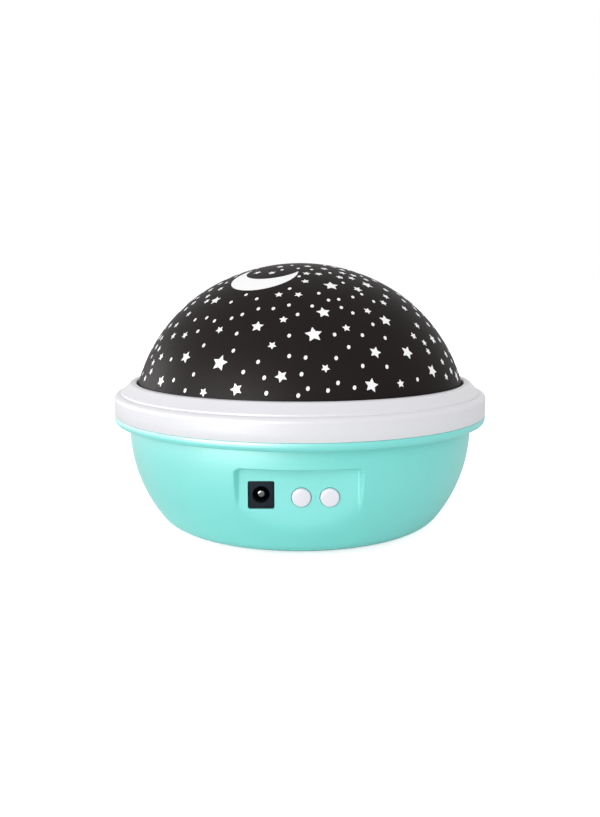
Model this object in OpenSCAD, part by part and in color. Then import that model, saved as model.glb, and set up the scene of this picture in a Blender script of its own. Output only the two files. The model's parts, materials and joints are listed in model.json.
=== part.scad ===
// Star night light projector: a dark domed shade with stars turns on a round
// base. The front panel carries a power socket and two push buttons.
// Millimetres. +Z is up, z = 0 is the table, the Z axis is the dome's own axis,
// and the control panel faces -Y.

/* [Base bowl] */
// Height of the bowl from its underside to the seam with the white ring
bowl_h = 41.4; // [38:0.2:46]
// How far the flange stands out past the bowl's side
flange_overhang = 5.4; // [4.8:0.1:6]
// Radius of the curve of the bowl's side, seen from the front
bowl_side_r = 53.4; // [50:0.2:60]
// Radius of the rounded edge between the side and the underside
bowl_edge_r = 9.5; // [7:0.5:14]
// Thickness of the bowl's wall
bowl_wall = 2.2; // [1.8:0.1:2.6]
// Rounding under the flange's outer edge
flange_round = 1.6; // [1.2:0.1:1.8]
// Depth of the flange under the seam
flange_depth = 2.9; // [2.8:0.1:3.3]
// How far the rubber feet stand proud of the underside
foot_proud = 1; // [0.6:0.1:1.6]
// Thickness of one rubber foot
foot_t = 2; // [1.8:0.1:2.4]
// Radius of one rubber foot
foot_r = 4.5; // [3.5:0.25:5]
// Distance of the feet's centres inside the edge of the flat underside
foot_inset = 8.3; // [7:0.1:9]

/* [Control panel] */
// Depth of the flat panel behind the widest part of the bowl's side
panel_depth = 6.2; // [5.4:0.1:6.4]
// Width of the recess around the panel
panel_w = 40; // [38:1:44]
// Distance of the recess's upper edge under the seam
panel_top = 9.6; // [8.5:0.2:11]
// Rounding of the recess's corners
panel_corner = 2; // [1:0.25:3]
// Sideways place of the power socket
jack_x = -12.5; // [-13.5:0.25:-11.5]
// Distance of the socket's centre under the seam
jack_drop = 19.1; // [18:0.1:20]
// Width of the socket's visible nose
jack_nose_w = 8.2; // [7.8:0.1:8.6]
// Height of the socket's visible nose
jack_nose_h = 8.8; // [8.4:0.1:9.2]
// Radius of the socket's barrel
jack_bore_r = 2.8; // [2.75:0.05:3.2]
// Radius of the socket's centre pin
jack_pin_r = 1.05; // [0.8:0.05:1.25]
// How far the socket's face lies behind the panel's face
jack_inset = 0.4; // [0.2:0.1:0.8]
// Radius of one push button
button_r = 3.1; // [2.6:0.05:3.3]
// Distance between the two buttons' centres
button_pitch = 9.2; // [8.8:0.1:10]
// Sideways place midway between the two buttons
button_mid_x = 5; // [4:0.25:6]
// Distance of the buttons' centres under the seam
button_drop = 19.9; // [19:0.1:21]
// How far the buttons stand proud of the panel
button_proud = 0.7; // [0.6:0.1:1.2]
// How far a button travels when it is pressed
button_travel = 0.5; // [0.3:0.05:0.6]
// Clearance round a button in its hole
button_gap = 0.15; // [0.1:0.05:0.3]

/* [White ring] */
// Height of the ring above the seam
ring_h = 11.8; // [11:0.2:13]
// Height of the ring's upright outer wall
ring_wall_h = 5.9; // [5:0.1:6.4]
// Rounding above the upright wall
ring_shoulder_r = 2; // [1.5:0.1:2.4]
// Width of the ledge between the ring's outer wall and its upper step
ring_ledge_w = 2.5; // [2.2:0.1:2.8]
// Width of the slope from the upper step to the crest
ring_slope_w = 2.6; // [2.2:0.1:3]
// Width of the crest round the dome
ring_crest_w = 3.2; // [2.8:0.1:3.6]
// Thickness of the ring's walls
ring_wall = 1.9; // [1.6:0.1:2.1]

/* [Dome] */
// Outer radius of the dome's rim
dome_r = 61.2; // [60.6:0.1:61.3]
// Height of the dome's top above the seam
dome_top = 55.5; // [52:0.5:58]
// Height above the seam at which the dome's curve starts
dome_spring = 11; // [10:0.25:12]
// Radius of the dome's flatter crown
crown_r = 67.1; // [66:0.1:68]
// Slope, in degrees, at which the crown gives way to the shoulder
crown_end = 60; // [52:1:66]
// Thickness of the dome's wall
dome_wall = 1.6; // [1.3:0.1:1.8]
// Running clearance between the dome and the ring
dome_gap = 0.5; // [0.4:0.05:0.7]

/* [Drive] */
// Distance of the teeth's pitch circle inside the turntable's wall
gear_inset = 6.8; // [6.4:0.1:7.4]
// Teeth inside the turntable
turntable_teeth = 84;
// Teeth on the pinion
pinion_teeth = 14;
// Height of the gear teeth
gear_h = 4.4; // [3.6:0.1:5]
// Play on each flank of the teeth
tooth_play = 0.14; // [0.12:0.01:0.2]
// Height of the turntable
turntable_h = 6.2; // [5.8:0.1:6.6]
// Thickness of the turntable's flange and web
turntable_web = 1.6; // [1.4:0.1:1.8]
// Height of the glide pads above the deck
glide_h = 0.8; // [0.6:0.1:1]
// Gap between the glide pads and the turntable
glide_gap = 0.2; // [0.1:0.05:0.3]
// Radius of the motor's output shaft
shaft_r = 1.5; // [1.25:0.05:1.6]
// Radius of the gearbox
gearbox_r = 11; // [10:0.25:12]
// Height of the gearbox
gearbox_h = 9; // [8:0.25:10]
// Radius of the motor's steel can
motor_r = 8; // [7:0.25:9]
// Height of the motor's steel can
motor_h = 13; // [11:0.5:14]

/* [Deck and lamp] */
// Thickness of the deck
deck_t = 2; // [1.8:0.1:2.2]
// Distance of the deck's screws inside the bowl's wall
deck_screw_inset = 16.9; // [16.2:0.1:17.6]
// Radius of the lamp post
post_r = 10.4; // [10:0.1:11]
// Height of the lamp post above the deck
post_h = 9.6; // [7:0.2:12]
// Radius of the lamp board
lamp_board_r = 9.5; // [9:0.1:9.8]
// Radius of one lamp
lamp_r = 2.5; // [2:0.1:2.6]
// Distance of a lamp from the axis
lamp_ring_r = 5; // [4.6:0.1:5.2]

/* [Battery bay] */
// Length of one cell
cell_l = 44.5; // [44:0.1:45]
// Radius of one cell
cell_r = 5.25; // [5:0.05:5.3]
// Spacing of the cells
cell_pitch = 11; // [10.9:0.05:11.4]
// Number of cells side by side
cell_count = 4;
// Wall of the battery box
box_wall = 1.6; // [1.4:0.1:1.8]
// Thickness of the battery door
door_t = 1.8; // [1.7:0.05:1.9]
// Clearance round the battery door
door_gap = 0.3; // [0.2:0.05:0.4]
// Free length of one battery spring
spring_l = 5; // [4.5:0.1:5.5]
// Wire radius of a battery spring
spring_wire_r = 0.28; // [0.22:0.02:0.3]

/* [Electronics] */
// Thickness of the circuit boards
board_t = 1.6; // [1.2:0.1:1.7]
// Width of the main board
board_w = 40; // [39:0.5:41]
// Space between the main board and the battery box
board_box_gap = 6; // [5:0.25:7]
// Height of the socket's centre above the main board
jack_axis_h = 6.5; // [6.3:0.1:6.7]
// Radius of the insulated wires
wire_r = 0.6; // [0.4:0.05:0.65]

/* [Hidden] */
$fn = 96;

// Small shared clearances and overlaps
cut = 1;             // how far a cutter runs past the face it opens
seat_gap = 0.2;      // clearance of a moulded piece in its seat
hole_gap = 0.15;     // clearance of a screw in a through hole
thread_gap = 0.05;   // clearance of a screw in its boss
door_screw_swing = 0.25; // room for the captive screw as the door swings out
run_gap = 0.05;      // running clearance of a shaft

// Levels
bowl_z = foot_proud;
seam_z = bowl_z + bowl_h;
floor_z = bowl_z + bowl_wall;
deck_top_z = seam_z + deck_t;
turntable_z = deck_top_z + glide_h + glide_gap;
dome_rim_z = turntable_z + turntable_web;
dome_spring_z = seam_z + dome_spring;
dome_top_z = seam_z + dome_top;

// Radii, from the dome out to the flange and back in to the bowl
ring_in_r = dome_r + dome_gap;
ring_crest_r = ring_in_r + ring_crest_w;
ring_step_r = ring_crest_r + ring_slope_w;
flange_r = ring_step_r + ring_ledge_w;
bowl_r = flange_r - flange_overhang;
bowl_in_r = bowl_r - bowl_wall;
deck_screw_ring_r = bowl_in_r - deck_screw_inset;

// Bowl outline: the side is an arc round side_c, the edge an arc round edge_c
widest_drop = 5.6;   // the side is widest this far under the seam
side_c = [bowl_r - bowl_side_r, seam_z - widest_drop];
edge_cz = bowl_z + bowl_edge_r;
edge_reach = bowl_side_r - bowl_edge_r;
edge_c = [side_c[0] + sqrt(pow(edge_reach, 2) - pow(side_c[1] - edge_cz, 2)), edge_cz];
edge_a = atan2(edge_c[1] - side_c[1], edge_c[0] - side_c[0]);
side_top_a = asin((seam_z - flange_depth - side_c[1]) / bowl_side_r);
foot_ring_r = edge_c[0] - foot_inset;
// Radius of the side's inner face at height z
function bowl_in_at(z) = side_c[0] + sqrt(pow(bowl_side_r - bowl_wall, 2) - pow(side_c[1] - z, 2));

// Roundings of the ring's crest, outside and beside the dome
crest_round = 1.5;
crest_lip = 0.7;

// Flange groove that locates the ring
rib_out_r = flange_r - ring_wall + 0.3;
rib_in_r = rib_out_r - 1.2;
rib_h = 1.2;

// Dome outline: a crown arc on the axis, then a tighter shoulder arc that is
// tangent to it and ends on the upright rim
crown_c = [0, dome_top_z - crown_r];
crown_end_p = [crown_r * cos(crown_end), crown_c[1] + crown_r * sin(crown_end)];
crown_n = [cos(crown_end), sin(crown_end)];
to_rim = [crown_end_p[0] - dome_r, crown_end_p[1] - dome_spring_z];
shoulder_r = (to_rim[0] * to_rim[0] + to_rim[1] * to_rim[1])
    / (2 * (to_rim[0] * crown_n[0] + to_rim[1] * crown_n[1]));
shoulder_c = [crown_end_p[0] - shoulder_r * crown_n[0], crown_end_p[1] - shoulder_r * crown_n[1]];
shoulder_end = atan2(dome_spring_z - shoulder_c[1], dome_r - shoulder_c[0]);

// Panel
panel_y = bowl_r - panel_depth;
jack_z = seam_z - jack_drop;
button_z = seam_z - button_drop;
panel_in_y = panel_y - bowl_wall;
panel_top_z = seam_z - panel_top;
panel_low_z = bowl_z + bowl_edge_r;
jack_face_y = panel_y - jack_inset;
jack_body_w = 9;
jack_body_top = 4.5;
jack_body_l = 12;
jack_depth = 9.5;
jack_pin_l = 8.6;
jack_pin_root_r = jack_pin_r + 0.35;
jack_pin_root_l = 2.2;
jack_leg_w = 1.8;
jack_leg_t = 0.5;
jack_leg_gap = 0.1;
jack_leg_proud = 1.5;
jack_leg_places = [[0, 7.5], [0, 11.5], [3, 9.5]]; // beside the socket's axis, behind its face
button_flange_r = button_pitch / 2 - 0.4;
button_flange_t = 0.8;
button_flange_gap = 0.1;
button_stem_r = 2;
button_stem_l = 1.5;
plunger_r = 1.6;
plunger_l = 2.6;
switch_w = 6;
switch_d = 3.6;
switch_gap = 1.6;

// Main board: its front corners stay clear of the bowl's side
board_top_z = jack_z - jack_axis_h;
board_mid_x = -1.5;
board_side_gap = 0.8;
board_front_y = sqrt(pow(bowl_in_at(board_top_z - board_t) - board_side_gap, 2)
    - pow(board_w / 2 + abs(board_mid_x), 2));
// front of the socket's body, whose lower corner stays clear of the bowl's side
jack_body_y = min(panel_in_y - seat_gap,
    sqrt(pow(bowl_in_at(board_top_z) - seat_gap, 2) - pow(abs(jack_x) + jack_body_w / 2, 2)));
board_post_r = 3;
board_screw_in = 4;
chip_back = 11;
capacitor_back = 10;
capacitor_side = 7;
capacitor_r = 2.5;
capacitor_h = 6;

// Gear
turntable_r = dome_r - dome_wall - 0.3;
pitch_r = turntable_r - gear_inset;
gear_module = 2 * pitch_r / turntable_teeth;
pinion_pitch_r = gear_module * pinion_teeth / 2;
drive_r = pitch_r - pinion_pitch_r;
pressure = 20;
ring_tooth_in = 0.5 * gear_module;
ring_root_out = 1.15 * gear_module;
pinion_add = 0.8 * gear_module;
pinion_ded = 0.85 * gear_module;
turntable_lip_r = dome_r;
gear_rim_t = 2;
pinion_lift = 0.3;
shaft_top = 1;
bushing_r = 3;
ear_reach = 14.5;
ear_r = 3.2;
ear_t = 3;
motor_screw_r = 1.1;
small_head_r = 2;
small_head_h = 1.2;
small_grip = 5;
can_nose_r = 3.2;

// Battery bay
spring_plate_t = 0.4;
bay_l = cell_l + spring_l + 2 * spring_plate_t + 2.1;
bay_w = cell_pitch * cell_count;
board_d = board_front_y - bay_w / 2 - box_wall - board_box_gap;
bay_pad_t = door_t + 1.0;
bay_pad_z = bowl_z + bay_pad_t;
door_ledge = 2;
door_half_l = bay_l / 2 + door_ledge;
door_half_w = bay_w / 2 + door_ledge;
door_top_z = bowl_z + door_t;
hinge_r = 0.8;
hinge_z = bowl_z + 0.9;
hinge_x = -door_half_l - 0.3;
hinge_slot = hinge_z - bowl_z + 0.25;
hinge_pin_l = 8;
hinge_pin_y = 14;
tongue_w = 9;
door_screw_r = 1.25;
door_screw_head_r = 2.5;
door_screw_head_h = 1;
door_boss_r = 2.8;
door_screw_x = bay_l / 2 + box_wall + door_boss_r + seat_gap;
tongue_l = door_screw_x - door_half_l + door_screw_head_r + 1.4;
door_boss_h = 7;
door_screw_l = 4;
box_in_top_z = door_top_z + 2 * cell_r + 0.9;
box_ear_r = 3.2;
box_screw_x = 18;
box_screw_y = bay_w / 2 + box_wall + box_ear_r + 0.6;
box_ear_z = bay_pad_z + 4.4;
box_ear_t = 2;
tab_w = 3;
tab_z = box_in_top_z - 2.6;
tab_out = 2.4;

// Screws
case_screw_r = 1.3;
case_head_r = 2.6;
case_head_h = 1.8;
boss_wall = 2.4;
ring_screw_ring_r = ring_in_r + 2;
ring_screw_l = deck_t + 3.6;
deck_screw_l = deck_t + 9;
deck_pilot_l = 11;

// ---------------------------------------------------------------- helpers
function arc_points(c, r, from, to, steps) =
    [for (i = [0:steps]) let (a = from + (to - from) * i / steps) c + r * [cos(a), sin(a)]];

module ring_of(angles, radius) {
    for (a = angles)
        rotate([0, 0, a]) translate([radius, 0, 0]) children();
}

module tube(r_out, r_in, h) {
    difference() {
        cylinder(r = r_out, h = h);
        translate([0, 0, -cut]) cylinder(r = r_in, h = h + 2 * cut);
    }
}

module plate_y(w, h, t, corner) {
    rotate([90, 0, 0])
        linear_extrude(height = t)
            rounded_rect(w, h, corner);
}

module rounded_rect(w, h, corner) {
    union() {
        square([w - 2 * corner, h], center = true);
        square([w, h - 2 * corner], center = true);
        for (x = [-1, 1], y = [-1, 1])
            translate([x * (w / 2 - corner), y * (h / 2 - corner)]) circle(r = corner, $fn = 32);
    }
}

// Round-headed screw: head above z = 0, shank below, with a cross recess
module screw(r, length, head_r, head_h) {
    slot_w = head_r * 0.32;
    slot_l = head_r * 1.2;
    difference() {
        union() {
            translate([0, 0, -length]) cylinder(r = r, h = length);
            cylinder(r = head_r, h = head_h * 0.6);
            translate([0, 0, head_h * 0.6])
                cylinder(r1 = head_r, r2 = head_r * 0.7, h = head_h * 0.4);
        }
        for (a = [0, 90])
            rotate([0, 0, a])
                translate([-slot_l / 2, -slot_w / 2, head_h * 0.45])
                    cube([slot_l, slot_w, head_h]);
    }
}

// Involute tooth: half the angle it fills at radius r, with teeth n
function roll(a) = tan(a) * 180 / PI - a;
function half_tooth(n, r, play) =
    let (rp = gear_module * n / 2, rb = rp * cos(pressure))
    90 / n + play / rp * 180 / PI + roll(pressure) - roll(acos(min(1, rb / max(r, rb))));

function gear_points(n, r_low, r_mid, r_high, play) =
    [for (i = [0:n - 1], s = [[r_low, -1], [r_mid, -1], [r_high, -1], [r_high, 1], [r_mid, 1], [r_low, 1]])
        let (a = i * 360 / n + s[1] * half_tooth(n, s[0], play)) s[0] * [cos(a), sin(a)]];

// Tube swept along a smooth curve through hand-chosen points. The two end
// stretches stay straight.
function blend(p, i, t) =
    let (a = p[max(i - 1, 0)], b = p[i], c = p[i + 1], d = p[min(i + 2, len(p) - 1)])
    0.5 * (2 * b + (c - a) * t + (2 * a - 5 * b + 4 * c - d) * t * t
        + (3 * b - a - 3 * c + d) * t * t * t);
function route(p, steps) = concat(
    [p[0]],
    [for (i = [1:len(p) - 3], k = [0:steps - 1]) blend(p, i, k / steps)],
    [p[len(p) - 2], p[len(p) - 1]]);
function unit(v) = v / norm(v);
function heading(q, i) = unit(q[min(i + 1, len(q) - 1)] - q[max(i - 1, 0)]);

module swept_tube(q, radius, sides, side_way) {
    last = len(q) - 1;
    rings = [for (i = [0:last])
        let (t = i == 0 ? unit(q[1] - q[0]) : i == last ? unit(q[last] - q[last - 1]) : heading(q, i),
            u = unit(side_way - (side_way * t) * t),
            v = cross(t, u))
        for (k = [0:sides - 1])
            q[i] + radius * (cos(k * 360 / sides) * u + sin(k * 360 / sides) * v)];
    walls = [for (i = [0:last - 1], k = [0:sides - 1])
        let (a = i * sides + k, b = i * sides + (k + 1) % sides)
        each [[a, b + sides, b], [a, a + sides, b + sides]]];
    end_0 = last * sides;
    start = [for (k = [1:sides - 2]) [0, k, k + 1]];
    end = [for (k = [1:sides - 2]) [end_0, end_0 + k + 1, end_0 + k]];
    polyhedron(points = rings, faces = concat(start, walls, end));
}

// ---------------------------------------------------------------- shells
function bowl_outline() = concat(
    [[0, bowl_z]],
    arc_points(edge_c, bowl_edge_r, -90, edge_a, 12),
    arc_points(side_c, bowl_side_r, edge_a, side_top_a, 20));
function bowl_inner(extra) = concat(
    [[0, floor_z]],
    arc_points(edge_c, bowl_edge_r - bowl_wall, -90, edge_a, 12),
    arc_points(side_c, bowl_side_r - bowl_wall, edge_a, 0, 18),
    [[bowl_in_r, seam_z + extra], [0, seam_z + extra]]);
function flange_outline() =
    let (c = [flange_r - flange_round, seam_z - flange_depth + flange_round])
    concat(arc_points(c, flange_round, -90, 0, 8), [[flange_r, seam_z], [0, seam_z]]);

module bowl_solid() {
    rotate_extrude()
        polygon(concat(bowl_outline(), flange_outline()));
}

module bowl_shell() {
    difference() {
        bowl_solid();
        rotate_extrude() polygon(bowl_inner(cut));
    }
}

module panel_block() {
    side = bowl_wall;
    intersection() {
        bowl_solid();
        translate([-panel_w / 2 - side, -flange_r, floor_z])
            cube([panel_w + 2 * side, flange_r - panel_in_y, panel_top_z + side - floor_z]);
    }
}

module panel_recess() {
    h = panel_top_z - panel_low_z + panel_corner * 2;
    translate([0, -panel_y, panel_top_z - h / 2])
        plate_y(panel_w, h, flange_r, panel_corner);
}

module bay_pad() {
    translate([0, 0, bowl_z])
        linear_extrude(height = bay_pad_t)
            union() {
                square([bay_l + 2 * box_wall + 5, bay_w + 2 * box_wall + 3], center = true);
                translate([door_half_l, -tongue_w / 2 - 2]) square([tongue_l + 1.5, tongue_w + 4]);
                translate([hinge_x - 4, -door_half_w]) square([6, 2 * door_half_w]);
            }
}

module door_rebate() {
    depth = door_t + 0.1;
    translate([0, 0, bowl_z - cut]) {
        translate([-door_half_l - 0.1, -door_half_w, 0])
            cube([2 * door_half_l + 0.1, 2 * door_half_w, depth + cut]);
        translate([0, -tongue_w / 2, 0])
            cube([door_half_l + tongue_l, tongue_w, depth + cut]);
        // room in which the hinge edge turns
        translate([hinge_x - hinge_slot, -door_half_w, 0])
            cube([hinge_slot + 1, 2 * door_half_w, hinge_z - bowl_z + cut]);
    }
    translate([hinge_x, door_half_w, hinge_z])
        rotate([90, 0, 0]) cylinder(r = hinge_slot, h = 2 * door_half_w, $fn = 32);
}

module base_bowl() {
    color([0.58, 0.92, 0.87])
        difference() {
            union() {
                bowl_shell();
                panel_block();
                intersection() {
                    union() {
                        bay_pad();
                        // bosses for the deck's screws
                        ring_of([45, 135, 225, 315], deck_screw_ring_r)
                            translate([0, 0, floor_z - cut])
                                cylinder(r = case_screw_r + boss_wall, h = seam_z - floor_z + cut);
                        // posts under the main board
                        for (x = [-1, 1])
                            translate([board_screw_place(x)[0], board_screw_place(x)[1], floor_z - cut])
                                cylinder(r = board_post_r, h = board_top_z - board_t - floor_z + cut);
                        // bosses beside the battery box
                        for (x = [-1, 1], y = [-1, 1])
                            translate([x * box_screw_x, y * box_screw_y, floor_z - cut])
                                cylinder(r = box_ear_r, h = box_ear_z - floor_z + cut);
                        translate([door_screw_x, 0, floor_z - cut])
                            cylinder(r = door_boss_r, h = door_boss_h + cut);
                    }
                    bowl_solid();
                }
            }
            panel_recess();
            // socket opening
            translate([jack_x, -panel_in_y + cut, jack_z])
                plate_y(jack_nose_w + 2 * seat_gap, jack_nose_h + 2 * seat_gap, bowl_wall + 3 * cut, 0.6);
            // button holes
            for (x = [-0.5, 0.5])
                translate([button_mid_x + x * button_pitch, -panel_in_y + cut, button_z])
                    rotate([90, 0, 0])
                        cylinder(r = button_r + button_gap, h = bowl_wall + 3 * cut);
            // battery bay and the rebate of its door
            translate([-bay_l / 2, -bay_w / 2, bowl_z - cut]) cube([bay_l, bay_w, bay_pad_t + 2 * cut]);
            door_rebate();
            translate([door_screw_x, 0, bowl_z])
                cylinder(r = door_screw_r + door_screw_swing, h = door_boss_h - 1);
            // foot recesses
            ring_of([60, 120, 240, 300], foot_ring_r)
                translate([0, 0, bowl_z - cut])
                    cylinder(r = foot_r + seat_gap, h = foot_t - foot_proud + cut);
            // pilot holes
            ring_of([45, 135, 225, 315], deck_screw_ring_r)
                translate([0, 0, seam_z - deck_pilot_l])
                    cylinder(r = case_screw_r + thread_gap, h = deck_pilot_l + cut);
            for (x = [-1, 1])
                translate([board_screw_place(x)[0], board_screw_place(x)[1], floor_z + 2])
                    cylinder(r = motor_screw_r + thread_gap, h = board_top_z);
            for (x = [-1, 1], y = [-1, 1])
                translate([x * box_screw_x, y * box_screw_y, floor_z])
                    cylinder(r = motor_screw_r + thread_gap, h = box_ear_z);
            // groove and pockets in the flange's top
            translate([0, 0, seam_z - rib_h - seat_gap])
                tube(rib_out_r + seat_gap, rib_in_r - seat_gap, rib_h + cut);
            ring_of([0, 90, 180, 270], ring_screw_ring_r)
                translate([0, 0, seam_z - case_head_h - 0.3])
                    cylinder(r = case_head_r + 0.4, h = case_head_h + cut);
        }
}

function board_screw_place(side) =
    [board_mid_x + side * (board_w / 2 - board_screw_in), -(board_front_y - board_d + board_screw_in)];

// Outer outline of the ring, from the outer wall up and in to the crest
function ring_outline() =
    let (shoulder_z = seam_z + ring_wall_h,
        step_z = shoulder_z + ring_shoulder_r,
        crest_z = seam_z + ring_h)
    concat(
        [[flange_r, seam_z]],
        arc_points([flange_r - ring_shoulder_r, shoulder_z], ring_shoulder_r, 0, 85, 8),
        [[ring_step_r, step_z], [ring_step_r, step_z + 0.5], [ring_step_r - 0.4, step_z + 0.8]],
        [[ring_crest_r + 0.6, crest_z - crest_round - 0.4], [ring_crest_r, crest_z - crest_round]],
        arc_points([ring_crest_r - crest_round, crest_z - crest_round], crest_round, 0, 90, 6),
        arc_points([ring_in_r + crest_lip, crest_z - crest_lip], crest_lip, 90, 180, 5));

module bezel_ring() {
    crest_z = seam_z + ring_h;
    color([0.93, 0.93, 0.95])
        difference() {
            union() {
                difference() {
                    rotate_extrude()
                        polygon(concat(ring_outline(), [[ring_in_r, deck_top_z], [ring_in_r, seam_z]]));
                    // hollow between the outer wall and the inner skirt
                    rotate_extrude()
                        polygon([
                            [flange_r - ring_wall, seam_z - cut],
                            [flange_r - ring_wall, seam_z + ring_wall_h],
                            [ring_step_r - ring_wall, seam_z + ring_wall_h + ring_shoulder_r - ring_wall + 0.4],
                            [ring_in_r + ring_wall, crest_z - ring_wall - 1.6],
                            [ring_in_r + ring_wall, deck_top_z - cut],
                            [ring_in_r - cut, deck_top_z - cut],
                            [ring_in_r - cut, seam_z - cut]]);
                    // the inner skirt ends on the deck
                    translate([0, 0, seam_z - cut])
                        tube(flange_r - ring_wall, ring_in_r - cut, deck_t + cut);
                }
                translate([0, 0, seam_z - rib_h])
                    tube(rib_out_r, rib_in_r, rib_h + deck_t + 1);
                intersection() {
                    ring_of([0, 90, 180, 270], ring_screw_ring_r)
                        translate([0, 0, deck_top_z])
                            cylinder(r = case_screw_r + 1.1, h = ring_screw_l - deck_t + 0.6);
                    translate([0, 0, deck_top_z])
                        tube(flange_r - 1, ring_in_r + 0.5, ring_h);
                }
            }
            ring_of([0, 90, 180, 270], ring_screw_ring_r)
                translate([0, 0, seam_z])
                    cylinder(r = case_screw_r + thread_gap, h = ring_screw_l + 0.1);
        }
}

module deck_plate() {
    deck_r = rib_in_r - seat_gap;
    color([0.96, 0.96, 0.94])
        difference() {
            union() {
                translate([0, 0, seam_z]) cylinder(r = deck_r, h = deck_t);
                translate([0, 0, seam_z - lip_h])
                    tube(bowl_in_r - seat_gap, bowl_in_r - seat_gap - lip_t, lip_h + cut);
                // collar round the motor's shaft
                translate([0, drive_r, deck_top_z - cut]) cylinder(r = bushing_r + collar_w, h = cut);
            }
            translate([0, drive_r, seam_z - cut]) cylinder(r = bushing_r + seat_gap, h = deck_t + 2 * cut);
            for (x = [-1, 1])
                translate([x * ear_reach, drive_r, seam_z - cut])
                    cylinder(r = motor_screw_r + hole_gap, h = deck_t + 2 * cut);
            ring_of([45, 135, 225, 315], deck_screw_ring_r)
                translate([0, 0, seam_z - cut]) cylinder(r = case_screw_r + hole_gap, h = deck_t + 2 * cut);
            ring_of([0, 90, 180, 270], ring_screw_ring_r)
                translate([0, 0, seam_z - cut]) cylinder(r = case_screw_r + hole_gap, h = deck_t + 2 * cut);
            // room for the ring screws' heads in the lip
            ring_of([0, 90, 180, 270], ring_screw_ring_r)
                translate([0, 0, seam_z - case_head_h - cut])
                    cylinder(r = case_head_r + 0.4, h = case_head_h + cut);
            for (x = [-1, 1])
                translate([x * post_screw_x, 0, seam_z - cut])
                    cylinder(r = motor_screw_r + thread_gap, h = deck_t + 2 * cut);
            // opening for the lamp's wires, and seats of the glide pads
            translate([0, 0, seam_z - cut]) cylinder(r = wire_hole_r, h = deck_t + 2 * cut);
            ring_of(glide_angles, glide_ring_r)
                translate([0, 0, deck_top_z - glide_seat])
                    cylinder(r = glide_r + seat_gap / 2, h = glide_seat + cut);
        }
}

glide_angles = [20, 70, 110, 160, 200, 250, 290, 340];
glide_r = 2;
glide_seat = 1;
lip_h = 3;
lip_t = 1.6;
collar_w = 1.4;
glide_ring_r = turntable_r - gear_rim_t;

module glide_pads() {
    color([0.9, 0.88, 0.78])
        ring_of(glide_angles, glide_ring_r)
            translate([0, 0, deck_top_z - glide_seat]) cylinder(r = glide_r, h = glide_seat + glide_h);
}

post_screw_x = post_r + 2.9;
post_flange_r = post_screw_x + small_head_r + 0.8;
post_foot_t = 1.6;
post_wall = 2.4;
wire_hole_r = 5;
lamp_rim = 0.4;
lamp_rim_h = 1;
lamp_side_h = 6.1;

module lamp_post() {
    rim_z = deck_top_z + post_h;
    color([0.97, 0.97, 0.95])
        difference() {
            union() {
                translate([0, 0, deck_top_z]) cylinder(r = post_r, h = post_h + board_t * 0.8);
                translate([0, 0, deck_top_z]) cylinder(r = post_flange_r, h = post_foot_t);
            }
            translate([0, 0, deck_top_z - cut])
                cylinder(r = post_r - post_wall, h = post_h + 3 * cut + board_t);
            translate([0, 0, rim_z]) cylinder(r = lamp_board_r + seat_gap / 2, h = board_t + cut);
            for (x = [-1, 1])
                translate([x * post_screw_x, 0, deck_top_z - cut])
                    cylinder(r = motor_screw_r + hole_gap, h = post_foot_t + 2 * cut);
        }
}

module lamp_post_screws() {
    color([0.75, 0.76, 0.78])
        for (x = [-1, 1])
            translate([x * post_screw_x, 0, deck_top_z + post_foot_t])
                screw(motor_screw_r, post_foot_t + deck_t + 1, small_head_r, small_head_h);
}

module lamp_board() {
    color([0.92, 0.92, 0.9])
        translate([0, 0, deck_top_z + post_h]) cylinder(r = lamp_board_r, h = board_t);
}

module lamp(a, shade) {
    base_z = deck_top_z + post_h + board_t;
    color(shade)
        rotate([0, 0, a])
            translate([lamp_ring_r, 0, base_z])
                rotate_extrude($fn = 48)
                    polygon(concat(
                        [[0, 0], [lamp_r + lamp_rim, 0], [lamp_r + lamp_rim, lamp_rim_h]],
                        [[lamp_r, lamp_rim_h]],
                        arc_points([0, lamp_side_h], lamp_r, 0, 90, 6)));
}

module warm_lamp() { lamp(45, [1, 0.93, 0.75]); }
module red_lamp() { lamp(135, [0.95, 0.55, 0.5]); }
module green_lamp() { lamp(225, [0.6, 0.92, 0.62]); }
module blue_lamp() { lamp(315, [0.55, 0.65, 0.95]); }

// ---------------------------------------------------------------- dome and drive
function dome_curve(inset) = concat(
    arc_points(shoulder_c, shoulder_r - inset, shoulder_end, crown_end, 22),
    [for (i = [1:14]) let (a = crown_end + (90 - crown_end) * i / 14)
        crown_c + (crown_r - inset) * [cos(a), sin(a)]]);

module star_dome() {
    outer = concat([[dome_r, dome_rim_z]], dome_curve(0));
    inner = concat([[dome_r - dome_wall, dome_rim_z]], dome_curve(dome_wall));
    count = len(inner);
    color([0.16, 0.15, 0.16])
        rotate_extrude($fn = 128)
            polygon(concat(outer, [for (i = [0:count - 1]) inner[count - 1 - i]]));
}

module turntable() {
    root_r = pitch_r + ring_root_out;
    color([0.93, 0.93, 0.9])
        translate([0, 0, turntable_z])
            difference() {
                union() {
                    cylinder(r = turntable_lip_r, h = turntable_web);
                    cylinder(r = turntable_r, h = turntable_h);
                }
                // trough between the gear rim and the dome's seat
                translate([0, 0, turntable_web])
                    tube(turntable_r - 1.6, root_r + gear_rim_t, turntable_h);
                translate([0, 0, gear_h]) cylinder(r = root_r + 0.4, h = turntable_h);
                rotate([0, 0, 90])
                    translate([0, 0, -cut])
                        linear_extrude(height = turntable_h + 2 * cut)
                            polygon(gear_points(turntable_teeth, pitch_r - ring_tooth_in, pitch_r,
                                root_r, tooth_play));
            }
}

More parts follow.
